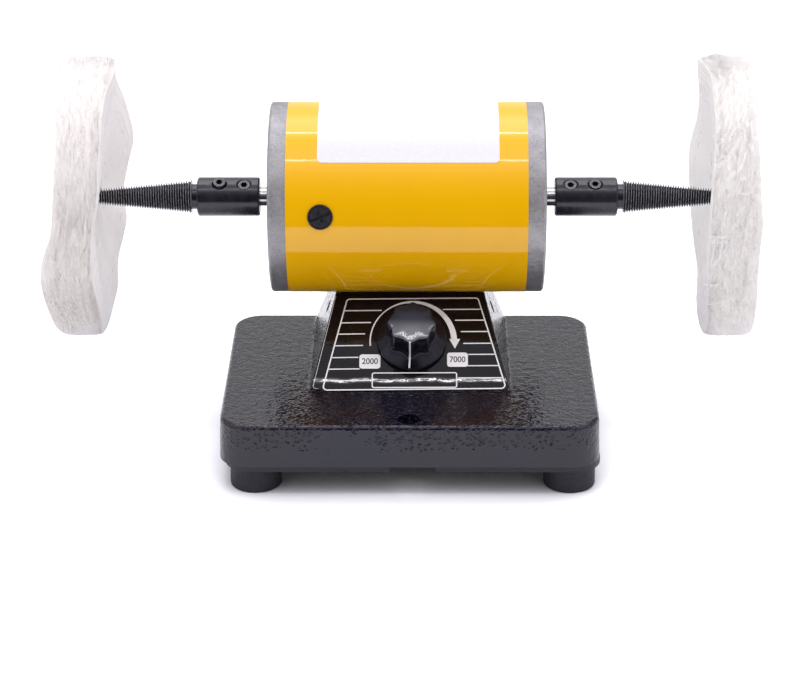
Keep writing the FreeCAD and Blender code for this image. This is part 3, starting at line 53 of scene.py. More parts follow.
AXIS_Y, AXIS_Z = 0.01445, 0.0966
BASE_X = 0.0012
BASE_TOP_Z = 0.0310
PANEL_AHEAD = 0.0532  # of the spindle, at the panel's foot
PANEL_ANGLE = math.radians(35.9)
PANEL_FOOT = Vector((BASE_X, AXIS_Y - PANEL_AHEAD, BASE_TOP_Z))
PANEL_UP = Vector((0, math.cos(PANEL_ANGLE), math.sin(PANEL_ANGLE)))
PANEL_OUT = Vector((0, -math.sin(PANEL_ANGLE), math.cos(PANEL_ANGLE)))
KNOB_U_MM, KNOB_V_MM = 0.7, 23.9
FILM_MM = 0.3
TAPER_START_MM, TAPER_END_MM = 90.3, 138.9
THREAD_PITCH_MM = 1.05


# -------- shader nodes

class Value:
    """One output of a node. Its sums, products and so on are further nodes of the same tree."""

    def __init__(self, nodes, socket):
        self.nodes = nodes
        self.socket = socket

    def __add__(self, other):
        return self.nodes.maths("ADD", self, other)

    def __sub__(self, other):
        return self.nodes.maths("SUBTRACT", self, other)

    def __rsub__(self, other):
        return self.nodes.maths("SUBTRACT", other, self)

    def __mul__(self, other):
        return self.nodes.maths("MULTIPLY", self, other)

    def __truediv__(self, other):
        return self.nodes.maths("DIVIDE", self, other)

    def __abs__(self):
        return self.nodes.maths("ABSOLUTE", self)


class Nodes:
    """A node tree, and short ways to add the usual nodes to it."""

    def __init__(self, tree):
        self.tree = tree

    def add(self, kind, inputs, output=0, **settings):
        """A new node with its settings and inputs; what comes back is one of its outputs."""
        made = self.tree.nodes.new(kind)
        for name, setting in settings.items():
            setattr(made, name, setting)
        for key, source in inputs.items():
            self.feed(made.inputs[key], source)
        return Value(self, made.outputs[output])

    def feed(self, socket, source):
        """Give a socket a Value, a number, a vector, or a colour of three numbers."""
        if isinstance(source, Value):
            self.tree.links.new(source.socket, socket)
        elif socket.type == "RGBA":
            socket.default_value = (*source, 1.0)
        else:
            socket.default_value = source

    def maths(self, operation, *sources):
        return self.add("ShaderNodeMath", dict(enumerate(sources)), operation=operation)

    def split(self, vector):
        parts = self.tree.nodes.new("ShaderNodeSeparateXYZ")
        self.feed(parts.inputs[0], vector)
        return [Value(self, socket) for socket in parts.outputs]

    def mix(self, share, first, second, blend="MIX"):
        """A colour on the way from the first to the second, or the second blended over the first."""
        colours = {0: share, 6: first, 7: second}
        return self.add("ShaderNodeMix", colours, 2, data_type="RGBA", blend_type=blend)

    def rays(self):
        """Whether a ray comes straight from the camera, and whether by a mirror or through glass."""
        path = self.tree.nodes.new("ShaderNodeLightPath").outputs
        straight, mirrored, through = (Value(self, path["Is %s Ray" % kind])
                                       for kind in ("Camera", "Glossy", "Transmission"))
        return straight, mirrored + through


class Look(Nodes):
    """A material with one Principled shader, patterned in the object's own coordinates."""

    def __init__(self, name, colour, roughness, metallic=0.0, ior=1.5):
        self.material = bpy.data.materials.new(name)
        self.material.use_nodes = True
        super().__init__(self.material.node_tree)
        self.shader = self.tree.nodes["Principled BSDF"]
        self.set("Base Color", colour)
        self.set("Roughness", roughness)
        self.set("Metallic", metallic)
        self.set("IOR", ior)
        self.place = self.add("ShaderNodeTexCoord", {}, "Object")
        self.normal = None

    def set(self, socket, source):
        self.feed(self.shader.inputs[socket], source)

    def vector(self, x, y, z):
        return self.add("ShaderNodeCombineXYZ", {0: x, 1: y, 2: z})

    def stretched(self, scales, where=None):
        """Coordinates multiplied along each axis: the object's own, unless others are given."""
        return self.add("ShaderNodeVectorMath", {0: where or self.place, 1: scales}, operation="MULTIPLY")

    def reach(self, direction, start):
        """How far a place lies from a start, along a direction."""
        inputs = {0: self.place, 1: direction}
        ahead = self.add("ShaderNodeVectorMath", inputs, "Value", operation="DOT_PRODUCT")
        return ahead - start.dot(direction)

    def about_spindle(self):
        """The place along the spindle, the angle about it in radians, and the distance from it."""
        x, y, z = self.split(self.place)
        y, z = y - AXIS_Y, z - AXIS_Z
        return x, self.maths("ARCTAN2", z, y), self.maths("SQRT", y * y + z * z)

    def noise(self, scale, detail=3.0, roughness=0.55, distortion=0.0, where=None):
        """Noise with one scale, or with one for each axis."""
        if isinstance(scale, tuple):
            where, scale = self.stretched(scale, where), 1.0
        inputs = {"Vector": where or self.place, "Scale": scale, "Detail": detail, "Roughness": roughness,
                  "Distortion": distortion}
        return self.add("ShaderNodeTexNoise", inputs, "Fac")

    def cells(self, scale, where=None):
        """The distance from the middle of the nearest of many scattered cells."""
        return self.add("ShaderNodeTexVoronoi", {"Vector": where or self.place, "Scale": scale}, "Distance")

    def remap(self, source, low, high, to_low=0.0, to_high=1.0, smooth=False):
        """Runs from to_low to to_high as the source goes from low to high, and stays within them."""
        inputs = {"Value": source, "From Min": low, "From Max": high, "To Min": to_low, "To Max": to_high}
        kind = "SMOOTHSTEP" if smooth else "LINEAR"
        return self.add("ShaderNodeMapRange", inputs, "Result", clamp=True, interpolation_type=kind)

    def colour(self, source, first, second, low=0.3, high=0.7):
        """Base colour that runs between two colours as the source goes from low to high."""
        mixed = self.mix(self.remap(source, low, high), first, second)
        self.set("Base Color", mixed)
        return mixed

    def rough(self, source, low, high):
        """Roughness that runs from low to high over the range where most of a noise lies."""
        self.set("Roughness", self.remap(source, 0.3, 0.7, low, high))

    def coat(self, weight, roughness=0.05, ior=1.5):
        self.set("Coat Weight", weight)
        self.set("Coat Roughness", roughness)
        self.set("Coat IOR", ior)

    def bump(self, source, depth_mm):
        """Relief, on top of any before, whose height runs over depth_mm as the source goes from 0 to 1."""
        inputs = {"Strength": 1.0, "Distance": depth_mm * MM, "Height": source}
        if self.normal:
            inputs["Normal"] = self.normal
        self.normal = self.add("ShaderNodeBump", inputs)
        self.set("Normal", self.normal)
        self.set("Coat Normal", self.normal)


# -------- materials

def scaled(colour, factor, limit=1.0):
    return tuple(min(limit, channel * factor) for channel in colour)


def fine_look(name, colour, roughness, metallic, grain, shade, relief_mm, stretch=(1, 1, 1)):
    """A material whose colour, gloss and relief vary with one fine noise."""
    look = Look(name, colour, roughness, metallic)
    fine = look.noise(grain, detail=4, where=look.stretched(stretch))
    look.colour(fine, scaled(colour, 1 - shade), scaled(colour, 1 + shade))
    look.rough(fine, roughness * 0.85, min(1, roughness * 1.15))
    look.bump(fine, relief_mm)
    return look


def layered_look(name, colour, roughness, ior, dark, light, rough, relief_mm, fine, tone=None, relief=None):
    """A material with a fine noise, and maybe others for its tone and relief, each (scale, detail)."""
    look = Look(name, colour, roughness, ior=ior)
    look.colour(look.noise(*(tone or fine)), dark, light)
    look.rough(look.noise(*fine), *rough)
    look.bump(look.noise(*(relief or fine)), relief_mm)
    return look


def hammer_paint(name):
    """Gloss black paint on a rough casting: hammered ripples, orange peel, and pits on its steep sides."""
    look = Look(name, (0.01, 0.009, 0.013), 0.15, ior=1.45)
    height = look.split(look.place)[2]
    ripple = look.noise(320, detail=2, roughness=0.5, distortion=0.4)
    peel = look.noise(900, detail=2)
    pits = look.remap(look.cells(760, look.stretched((0.75, 1, 1))), 0.18, 0.43, 1, 0, smooth=True)
    upper_side = look.remap(height, 0.0195, 0.0262, smooth=True)
    patches = look.remap(look.noise(48, detail=2), 0.37, 0.45)
    pedestal = look.remap(height, 0.0335, 0.0365)
    look.colour(look.noise(24, detail=2), (0.003, 0.003, 0.014), (0.008, 0.005, 0.013), 0.4, 0.65)
    look.rough(peel, 0.08, 0.16)
    look.bump(ripple, 0.36)
    look.bump(peel, 0.08)
    look.bump(1 - pits * upper_side * patches, 1)
    look.bump(look.noise(560, detail=2) * pedestal, 0.45)
    return look


def enamel(name):
    """Yellow gloss enamel with a faint unevenness along and around the tube."""
    look = Look(name, (0.88, 0.46, 0.0015), 0.07, ior=1.48)
    peel = look.noise(420, detail=2)
    look.colour(look.noise(30), (0.855, 0.445, 0.0012), (0.875, 0.462, 0.0018))
    look.rough(peel, 0.05, 0.09)
    look.bump(look.noise((260, 3, 0), detail=2, where=look.vector(*look.about_spindle())), 0.012)
    look.bump(peel, 0.01)
    return look


def casting(name):
    """Blasted aluminium with a fine speckle."""
    look = Look(name, (0.34, 0.335, 0.35), 0.5, metallic=0.75)
    speckle = look.noise(1500, roughness=0.7)
    tone = speckle * 0.6 + look.noise(140) * 0.4
    look.colour(tone, (0.235, 0.23, 0.24), (0.405, 0.395, 0.4), 0.38, 0.62)
    look.rough(speckle, 0.42, 0.62)
    look.bump(look.cells(1300), 0.05)
    look.bump(speckle, 0.05)
    return look


def black_oxide(name):
    """Blackened and oiled steel with turning marks round X, paler on the thread's crests: partly wear,
    partly a painted highlight.
    """
    look = Look(name, (0.01, 0.01, 0.014), 0.25, ior=1.48)
    along, angle, radius = look.about_spindle()
    turning = look.noise((5200, 1.5, 0), where=look.vector(along, angle, radius))
    smear = look.noise(260, detail=4, roughness=0.65)
    reach = abs(along)
    turns = (reach - TAPER_START_MM * MM) / (THREAD_PITCH_MM * MM) - (0.5 - angle / (2 * math.pi))
    crest = look.remap(look.maths("PINGPONG", turns, 0.5), 0.04, 0.24, 1, 0)
    on_taper = look.remap(reach, 0.0895, 0.0905)
    patches = look.remap(look.noise(900, detail=2), 0.35, 0.6, 0.35, 1)
    oxide = look.colour(smear, (0.009, 0.009, 0.015), (0.02, 0.02, 0.03))
    # paler crests: partly wear, partly a painted highlight
    look.set("Base Color", look.mix(crest * on_taper * patches, oxide, (0.32, 0.32, 0.33)))
    look.rough(turning * 0.5 + smear * 0.5, 0.12, 0.3)
    look.bump(turning, 0.015)
    look.bump(smear, 0.03)
    return look


def ground_steel(name):
    look = Look(name, (0.62, 0.61, 0.59), 0.16, metallic=1)
    turning = look.noise((4200, 1, 0), where=look.vector(*look.about_spindle()))
    look.colour(turning, (0.35, 0.345, 0.34), (0.46, 0.455, 0.45))
    look.rough(turning, 0.1, 0.24)
    look.bump(turning, 0.006)
    return look


def bakelite(name, colour, roughness, scuffed):
    """Moulded phenolic with a faint flow texture and fine scuffs."""
    look = Look(name, colour, roughness, ior=1.55)
    flow = look.noise(110, distortion=0.6)
    fine = look.noise(1400)
    look.colour(flow, scaled(colour, 0.75), scaled(colour, 1.4))
    look.rough(fine, roughness * 0.8, roughness * (1.2 + scuffed))
    look.bump(flow, 0.03)
    look.bump(fine, 0.006 + 0.01 * scuffed)
    return look


def knob_moulding(name):
    """Satin black phenolic with a painted paler sheen on its top, and polished by fingers on the top's lower
    half.
    """
    look = Look(name, (0.01, 0.01, 0.016), 0.2, ior=1.36)
    height = look.reach(PANEL_OUT, PANEL_FOOT)
    up = look.reach(PANEL_UP, PANEL_FOOT) - KNOB_V_MM * MM
    flow = look.noise(120, distortion=0.6)
    lower_half = look.remap(up, -0.0045, 0.002, 1, 0, smooth=True)
    look.coat(look.remap(height, 0.0152, 0.0157) * lower_half, 0.1, 2)
    plain = look.colour(flow, (0.003, 0.003, 0.008), (0.008, 0.008, 0.017))
    # painted sheen: the top's colour turns paler and bluer, standing for the bright tent that it faces
    top_painted_sheen = look.remap(height, 0.015, 0.0158, 0, 0.85)
    look.set("Base Color", look.mix(top_painted_sheen, plain, (0.014, 0.016, 0.029)))
    look.rough(look.noise(520, detail=4, roughness=0.7), 0.13, 0.22)
    look.bump(flow, 0.03)
    look.bump(look.noise(1100, detail=2), 0.04)
    return look


def panel_film(name):
    """Glossy black film that lies on the rough wall below it, with a slight fold near its lower edge."""
    look = Look(name, (0.006, 0.005, 0.007), 0.1, ior=1.3)
    line = look.reach(PANEL_UP, PANEL_FOOT) - look.noise(75) * 0.003
    ridge = look.remap(abs(line - 0.0037), 0.0004, 0.0015, 1, 0)
    look.coat(ridge * look.remap(look.noise(260), 0.38, 0.56, 0.15, 1), ior=2)
    look.colour(look.noise(40), (0.003, 0.003, 0.005), (0.01, 0.006, 0.007))
    look.rough(look.noise(900), 0.02, 0.06)
    look.bump(look.noise(230, detail=2), 0.035)
    look.bump(look.noise(480, detail=2), 0.02)
    look.bump(look.remap(line, 0.0024, 0.005, smooth=True), 0.215)
    return look


# the threads, dark and light, then the faces behind and in front of the spindle, whose colours are painted
# shade and painted light
COTTON_TONES_AND_PAINTED_FACE_LIGHT = (0.83, 0.775, 0.72), (0.95, 0.905, 0.855), (0.96, 0.905, 0.865), (0.955, 0.92, 0.9)
STRAND_SHADE = (0.68, 0.62, 0.56)
# painted light: a paler colour for the buffs' lower part, where less light falls
LOW_PAINTED_LIGHT_COLOUR = (0.97, 0.945, 0.935)
# painted shade: darker in the gaps between ply edges near the rim
GAP_PAINTED_SHADE_COLOUR = (0.86, 0.84, 0.83)


def cotton(name, threads_mm, crumple_mm, wander, curls, pale):
    """Cotton plies: threads and curled strands round the rim, lint, and faint rings on the faces, with
    painted shade in the gaps between ply edges, painted light low down, and painted shade and light on the
    faces behind and in front of the spindle.
    """
    look = Look(name, (0.9, 0.88, 0.85), 0.95)
    look.set("Sheen Weight", 0.42)
    look.set("Sheen Roughness", 0.6)
    _, y, z = look.split(look.place)
    along, angle, radius = look.about_spindle()
    spun = look.vector(along, angle, radius)
    swayed = look.vector(along + (look.noise(150) - 0.5) * wander, angle, radius)
    thread = look.noise((1900, 7, 1100), roughness=0.65, where=swayed)
    ply = look.noise((520, 2.2, 300), detail=2, where=swayed)
    lint = look.noise((430, 9.5, 300), detail=4, roughness=0.65, distortion=1.6, where=spun)
    curl = look.noise((640, 26, 0), detail=2, roughness=0.6, distortion=2.2, where=spun)
    edges = look.noise((0, 1.6, 1150), detail=2, where=spun)
    fluff = look.noise(900, roughness=0.6, distortion=1)
    weave = look.noise(2600, detail=2)

    on_face = look.remap(radius, 0.0545, 0.057, 1, 0)
    outer_ring = look.remap(radius, 0.036, 0.05)
    lower = look.remap(z, 0.086, 0.066, 0.1, 1, smooth=True)
    lower *= look.remap(z, 0.04, 0.052, 0.2, 1, smooth=True)
    curled = look.remap(abs(curl - 0.5), 0.015, 0.07, 1, 0) * lower * (1 - on_face)
    # painted shade and light: the faces turn warmer behind the spindle and cooler in front of it
    behind = look.remap(y + lint * 0.006, 0.004, 0.026, smooth=True)
    # painted light: paler towards the bottom of the buff
    low_painted_light = look.remap(z, 0.066, 0.04, 0, 0.9, smooth=True)
    # painted shade in the gaps between ply edges on the faces near the rim
    gap_painted_shade = outer_ring * on_face * look.remap(edges, 0.5, 0.36)

    dark, light, rear, front = (scaled(shade, pale, 0.97) for shade in COTTON_TONES_AND_PAINTED_FACE_LIGHT)
    paint = look.colour(thread * 0.45 + (ply * 0.2 + lint * 0.35), dark, light, 0.38, 0.58)
    paint = look.mix(curled * curls, paint, STRAND_SHADE)
    # painted shade on the faces behind the spindle, painted light on those in front
    paint = look.mix(behind * on_face * 0.7, paint, rear)
    paint = look.mix((1 - behind) * on_face * 0.7, paint, front)
    paint = look.mix(low_painted_light, paint, LOW_PAINTED_LIGHT_COLOUR)
    look.set("Base Color", look.mix(gap_painted_shade, paint, GAP_PAINTED_SHADE_COLOUR, "MULTIPLY"))
    look.rough(weave, 0.88, 1)
    look.bump(thread, threads_mm)
    look.bump(ply, threads_mm * 1.2)
    look.bump(1 - curled, curls * 0.25)
    look.bump(lint, crumple_mm)
    look.bump(fluff, crumple_mm * 0.5)
    look.bump(edges * outer_ring, 0.6)
    look.bump(weave, 0.03)
    return look


def windings(name):
    """Enamelled copper wire, laid across the core's ends in strands."""
    look = Look(name, (0.5, 0.2, 0.08), 0.3)
    look.coat(0.4)
    strands = look.noise((900, 900, 240), detail=1)
    look.colour(strands, (0.3, 0.1, 0.04), (0.62, 0.27, 0.11))
    look.rough(strands, 0.22, 0.4)
    look.bump(strands, 0.25)
    return look


def glass(name):
    look = Look(name, (0.8, 0.85, 0.85), 0.08)
    fine = look.noise(500)
    look.colour(fine, (0.74, 0.8, 0.8), (0.86, 0.9, 0.9))
    look.set("Transmission Weight", 0.6)
    look.bump(fine, 0.01)
    return look


# each material's function, and what that takes after the name
LOOK_TABLE = {
    "black_hammer_paint": (hammer_paint,),
    "yellow_enamel": (enamel,),
    "grey_cast_aluminium": (casting,),
    "black_oxide_steel": (black_oxide,),
    "shaft_steel": (ground_steel,),
    "knob_bakelite": (knob_moulding,),
    "black_overlay": (panel_film,),
    "copper_wire": (windings,),
    "fuse_glass": (glass,),
    "black_bakelite": (bakelite, (0.014, 0.014, 0.018), 0.24, 0.5),
    "brown_bakelite": (bakelite, (0.12, 0.05, 0.03), 0.35, 0.2),
    "cotton": (cotton, 0.32, 0.33, 0.006, 0.45, 1.02),
    "cotton_crumpled": (cotton, 0.3, 0.42, 0.012, 0.1, 1.05),
    "white_label": (layered_look, (0.88, 0.88, 0.9), 0.25, 1.45, (0.735, 0.73, 0.745), (0.755, 0.75, 0.765),
                    (0.2, 0.32), 0.015, (700, 4), None, (120, 2)),
    "scale_print": (layered_look, (0.8, 0.8, 0.82), 0.35, 1.5, (0.88, 0.885, 0.9), (0.96, 0.96, 0.965),
                    (0.3, 0.45), 0.004, (1600, 3)),
    "scale_figures": (layered_look, (0.02, 0.02, 0.022), 0.4, 1.5, (0.012, 0.012, 0.014),
                      (0.035, 0.035, 0.038), (0.3, 0.5), 0.004, (1600, 3)),
    "black_sheet_steel": (layered_look, (0.008, 0.008, 0.01), 0.5, 1.4, (0.006, 0.006, 0.008),
                          (0.012, 0.011, 0.014), (0.35, 0.5), 0.02, (800, 4), (50, 3)),
    "black_rubber": (layered_look, (0.008, 0.008, 0.01), 0.6, 1.4, (0.007, 0.007, 0.012),
                     (0.017, 0.016, 0.024), (0.5, 0.75), 0.04, (1100, 4), (90, 4)),
    "zinc_steel": (fine_look, (0.62, 0.62, 0.6), 0.28, 1, 700, 0.1, 0.008),
    "ferrite": (fine_look, (0.06, 0.06, 0.065), 0.55, 0, 600, 0.3, 0.03),
    "spring_steel": (fine_look, (0.45, 0.45, 0.44), 0.3, 1, 900, 0.12, 0.008, (1, 1, 6)),
    "bearing_steel": (fine_look, (0.6, 0.6, 0.62), 0.14, 1, 1200, 0.06, 0.003, (8, 1, 1)),
    "brass_metal": (fine_look, (0.72, 0.54, 0.22), 0.28, 1, 800, 0.12, 0.008),
    "lamination_steel": (fine_look, (0.3, 0.3, 0.31), 0.45, 1, 500, 0.2, 0.06, (6, 1, 1)),
    "commutator_copper": (fine_look, (0.72, 0.38, 0.22), 0.25, 1, 700, 0.15, 0.01, (6, 1, 1)),
    "carbon": (fine_look, (0.04, 0.04, 0.042), 0.6, 0, 1500, 0.3, 0.03),
    "green_laminate": (fine_look, (0.03, 0.2, 0.08), 0.4, 0, 400, 0.2, 0.02),
    "black_epoxy": (fine_look, (0.03, 0.03, 0.03), 0.5, 0, 1200, 0.25, 0.02),
    "bare_aluminium": (fine_look, (0.6, 0.6, 0.62), 0.35, 1, 500, 0.1, 0.01, (1, 1, 7)),
    "yellow_plastic": (fine_look, (0.75, 0.55, 0.05), 0.4, 0, 700, 0.08, 0.01),
    "green_plastic": (fine_look, (0.05, 0.3, 0.1), 0.45, 0, 800, 0.15, 0.015),
    "red_insulation": (fine_look, (0.45, 0.03, 0.03), 0.5, 0, 600, 0.15, 0.02),
    "cotton_lint": (fine_look, (0.96, 0.955, 0.96), 0.9, 0, 1500, 0.02, 0.01),
}
LOOKS = {name: make(name, *values) for name, (make, *values) in LOOK_TABLE.items()}

for row in frame["record"]["subparts"]:
    node_data = frame["nodes"][row["node"]].data
    node_data.materials.clear()
    node_data.materials.append(LOOKS[row["material_slot"]].material)


# -------- mesh helpers

def placed(name, data):
    """A new object in the scene."""
    made = bpy.data.objects.new(name, data)
    bpy.context.scene.collection.objects.link(made)
    return made


def mesh_object(name, points, faces):
    data = bpy.data.meshes.new(name)
    data.from_pydata([tuple(point) for point in points], [], faces)
    return placed(name, data)


def mesh_piece(name, points, faces, look, body, smooth=True):
    """A mesh object that rides on a body and takes a material slot of the record."""
    piece = mesh_object(name, points, faces)
    piece.data.materials.append(LOOKS[look].material)
    for polygon in piece.data.polygons:
        polygon.use_smooth = smooth
    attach(piece, body)
    return piece


def face_outwards(piece, weld=False):
    """Turn every face outwards, after merging the points that coincide if asked."""
    made = bmesh.new()
    made.from_mesh(piece.data)
    if weld:
        bmesh.ops.remove_doubles(made, verts=made.verts, dist=1e-7)
    bmesh.ops.recalc_face_normals(made, faces=made.faces)
    made.to_mesh(piece.data)
    made.free()


def circle(count):
    return [2 * math.pi * k / count for k in range(count)]


def ring(centre, heading, radius, corners):
    """Points about a centre, on a circle square to a heading."""
    aside = heading.orthogonal().normalized()
    third = heading.cross(aside)
    return [centre + (aside * math.cos(turn) + third * math.sin(turn)) * radius for turn in circle(corners)]


def ring_faces(rows, columns, start=0, closed=False, capped=False):
    """Quads between neighbouring rings of points; the last may join the first, or both may be capped."""
    faces = []
    for i in range(rows if closed else rows - 1):
        this, following = start + i * columns, start + (i + 1) % rows * columns
        for j in range(columns):
            k = (j + 1) % columns
            faces.append((this + j, this + k, following + k, following + j))
    if capped:
        end = start + rows * columns
        faces.append(tuple(range(start, start + columns)))
        faces.append(tuple(range(end - 1, end - columns - 1, -1)))
    return faces


def add_tube(points, faces, rings, capped=False):
    """Join rings of points into a tube, and add it to the points and faces so far."""
    faces += ring_faces(len(rings), len(rings[0]), len(points), capped=capped)
    points += [point for row in rings for point in row]


BORE_STEPS = 40


def bore(piece, foot, direction, profile_mm):
    """Cut a round hole along a direction; the profile gives distances from its foot and radii."""
    points, faces = [], []
    rings = [ring(foot + direction * distance * MM, direction, radius * MM, BORE_STEPS)
             for distance, radius in profile_mm]
    add_tube(points, faces, rings, capped=True)
    cutter = mesh_object("cutter", points, faces)
    face_outwards(cutter)
    cut = piece.modifiers.new("hole", "BOOLEAN")
    cut.object = cutter
    cut.solver = "EXACT"
    bpy.context.view_layer.update()
    evaluated = piece.evaluated_get(bpy.context.evaluated_depsgraph_get())
    bored = bpy.data.meshes.new_from_object(evaluated)
    piece.modifiers.clear()
    piece.data = bored
    bpy.data.objects.remove(cutter)


def on_panel(u_mm, v_mm, out_mm):
    """A point from its place on the sloping panel: across, up the slope, and out of it."""
    return PANEL_FOOT + Vector((u_mm * MM, 0, 0)) + PANEL_UP * (v_mm * MM) + PANEL_OUT * (out_mm * MM)


def turned_about_axis(x_mm, radius_mm, degrees):
    """A point about the spindle; the angle is measured up from the front."""
    angle = math.radians(degrees)
    ahead, up = radius_mm * math.cos(angle), radius_mm * math.sin(angle)
    return Vector((x_mm * MM, AXIS_Y - ahead * MM, AXIS_Z + up * MM))


def smooth_step(share):
    share = min(1.0, max(0.0, share))
    return share * share * (3 - 2 * share)


def round_table(table, degrees):
    """A smooth closed curve through (angle, value) places, read at an angle."""
    count = len(table)
    spans = [(table[(i + 1) % count][0] - table[i][0]) % 360 for i in range(count)]
    i = next(i for i in range(count) if (degrees - table[i][0]) % 360 <= spans[i])
    before, value, following, after = (table[(i + k) % count][1] for k in (-1, 0, 1, 2))
    span = spans[i]
    slope_in = (following - before) / (spans[i - 1] + span)
    slope_out = (after - value) / (span + spans[(i + 1) % count])
    t = (degrees - table[i][0]) % 360 / span
    return ((2 * t ** 3 - 3 * t ** 2 + 1) * value + (t ** 3 - 2 * t ** 2 + t) * span * slope_in
            + (3 * t ** 2 - 2 * t ** 3) * following + (t ** 3 - t ** 2) * span * slope_out)


# -------- speed knob

KNOB_TURN = math.radians(-3.8)
KNOB_LOBES = 8
KNOB_STEPS = 192
# heights above the panel, radius at a lobe's tip, and how deep the valleys between lobes are
KNOB_INSIDE_MM = ((12.7, 0.0, 0.0), (12.7, 3.02, 0.0), (4.1, 3.02, 0.0), (4.1, 8.5, 0.0))
KNOB_OUTSIDE_MM = (
    (0.70, 8.50, 0.0), (0.70, 14.15, 0.0), (0.85, 14.38, 0.0), (1.30, 14.42, 0.0), (2.10, 14.36, 0.0),
    (2.35, 14.10, 0.0), (3.00, 13.30, 0.02), (3.70, 12.45, 0.08), (4.40, 11.65, 0.20), (5.10, 10.95, 0.45),
    (5.80, 10.45, 0.80), (6.60, 10.20, 1.05), (7.60, 10.08, 1.15), (9.50, 10.02, 1.15), (12.0, 9.97, 1.15),
    (14.0, 9.94, 1.15), (14.7, 9.90, 1.14), (15.1, 9.86, 1.13), (15.38, 9.78, 1.12), (15.58, 9.66, 1.10),
    (15.73, 9.50, 1.08), (15.83, 9.30, 1.05), (15.90, 9.0, 1.0), (15.975, 8.5, 0.95), (16.06, 7.9, 0.9),
    (16.145, 7.25, 0.8), (16.215, 6.6, 0.65), (16.275, 5.9, 0.45), (16.335, 5.0, 0.25), (16.39, 3.8, 0.06),
    (16.425, 2.0, 0.0), (16.435, 0.0, 0.0),
)
KNOB_SCREW_MM = 8.7
KNOB_SCREW_HOLE_MM = ((2.6, 1.55), (13.0, 1.55))
POINTER_LOW_MM, POINTER_HIGH_MM = 2.3, 15.9
POINTER_HALF_WIDTH_MM = 0.34
POINTER_LIFT_MM = 0.05


def knob_radius(tip, depth, angle):
    valley = 0.5 - 0.5 * math.cos(KNOB_LOBES * (angle - KNOB_TURN))
    return tip - depth * valley ** 0.8


def knob_point(radius, angle, height):
    """A point about the knob's axis; angle 0 is straight down the slope."""
    return on_panel(KNOB_U_MM + radius * math.sin(angle), KNOB_V_MM - radius * math.cos(angle), height)


def speed_knob():
    """A skirted knob with a lobed grip, a blind hole for its shaft and a hole for its set screw."""
    levels = KNOB_INSIDE_MM + KNOB_OUTSIDE_MM
    points = [knob_point(knob_radius(tip, depth, angle), angle, height)
              for height, tip, depth in levels for angle in circle(KNOB_STEPS)]
    knob = mesh_piece("speed_knob_moulding", points, ring_faces(len(levels), KNOB_STEPS), "knob_bakelite",
                      "knob")
    face_outwards(knob, weld=True)
    bore(knob, knob_point(0, 0, KNOB_SCREW_MM), PANEL_UP, KNOB_SCREW_HOLE_MM)
    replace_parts(knob, "speed_knob")


def knob_pointer():
    """The white line from the grip's rim down its flank and across the skirt."""
    points, faces = [], []
    path = [level for level in KNOB_OUTSIDE_MM if POINTER_LOW_MM < level[0] < POINTER_HIGH_MM]
    for height, tip, _ in path:
        for side in (-1, 1):
            angle = KNOB_TURN + side * POINTER_HALF_WIDTH_MM / tip
            points.append(knob_point(tip + POINTER_LIFT_MM, angle, height + POINTER_LIFT_MM * 0.4))
    for i in range(len(path) - 1):
        faces.append((2 * i, 2 * i + 1, 2 * i + 3, 2 * i + 2))
    line = mesh_piece("knob_pointer_line", points, faces, "scale_print", "knob")
    face_outwards(line)


# -------- print on the panel

PRINT_OUT_MM = FILM_MM + 0.03
FIGURE_OUT_MM = FILM_MM + 0.05
CORNER_STEPS = 5

# places on the panel, across and up; the frame's and the caption's corners run round from the lower left
LINE_MM = 0.5
FRAME_LINE_MM = 0.55
FRAME_MM = ((-36.0, 0.5), (39.6, 1.4), (28.5, 44.9), (-26.4, 44.3))
CAPTION_MM = ((-15.5, 1.7), (19.3, 1.9), (19.3, 8.8), (-15.5, 8.6))
LEFT_ENDS_MM = ((-11.8, 38.8), (-16.3, 32.9), (-18.7, 27.4), (-19.5, 21.8), (-21.3, 16.1), (-20.8, 10.6),
                (-16.4, 5.1))
RIGHT_ENDS_MM = ((13.8, 39.3), (18.8, 34.0), (21.2, 28.5), (22.2, 22.8), (24.2, 17.5), (23.9, 12.1),
                 (19.9, 6.3))
NUMBER_BOXES_MM = ((-20.9, 10.7, -12.2, 17.5), (15.4, 11.6, 24.0, 18.4))
NUMBERS_MM = (("panel_low_speed", "2000", -16.55, 14.1), ("panel_high_speed", "7000", 19.7, 15.0))
NUMBER_SIZE_MM, NUMBER_BOLD_MM, NUMBER_NARROWED = 3.9, 0.05, 0.86
ARC_CENTRE_MM, ARC_RADII_MM = (0.9, KNOB_V_MM), (17.45, 19.0)
ARC_START, ARC_SWEEP, ARC_STEPS = 187, 184, 40
ARC_THIN_MM, ARC_SWELL_MM = 0.55, 1.9
ARROW_MM = ((16.3, 25.0), (18.7, 20.3), (20.9, 25.0))
# a pale strip along the film's cut edge, partly a painted highlight, and its widths
FILM_EDGE_AND_HIGHLIGHT_MM = ((-37.6, 1.2), (-39.4, 1.4), (-39.8, 2.4), (-31.2, 45.8))
FILM_EDGE_AND_HIGHLIGHT_WIDTHS_MM = (0.10, 0.16, 0.18, 0.16)


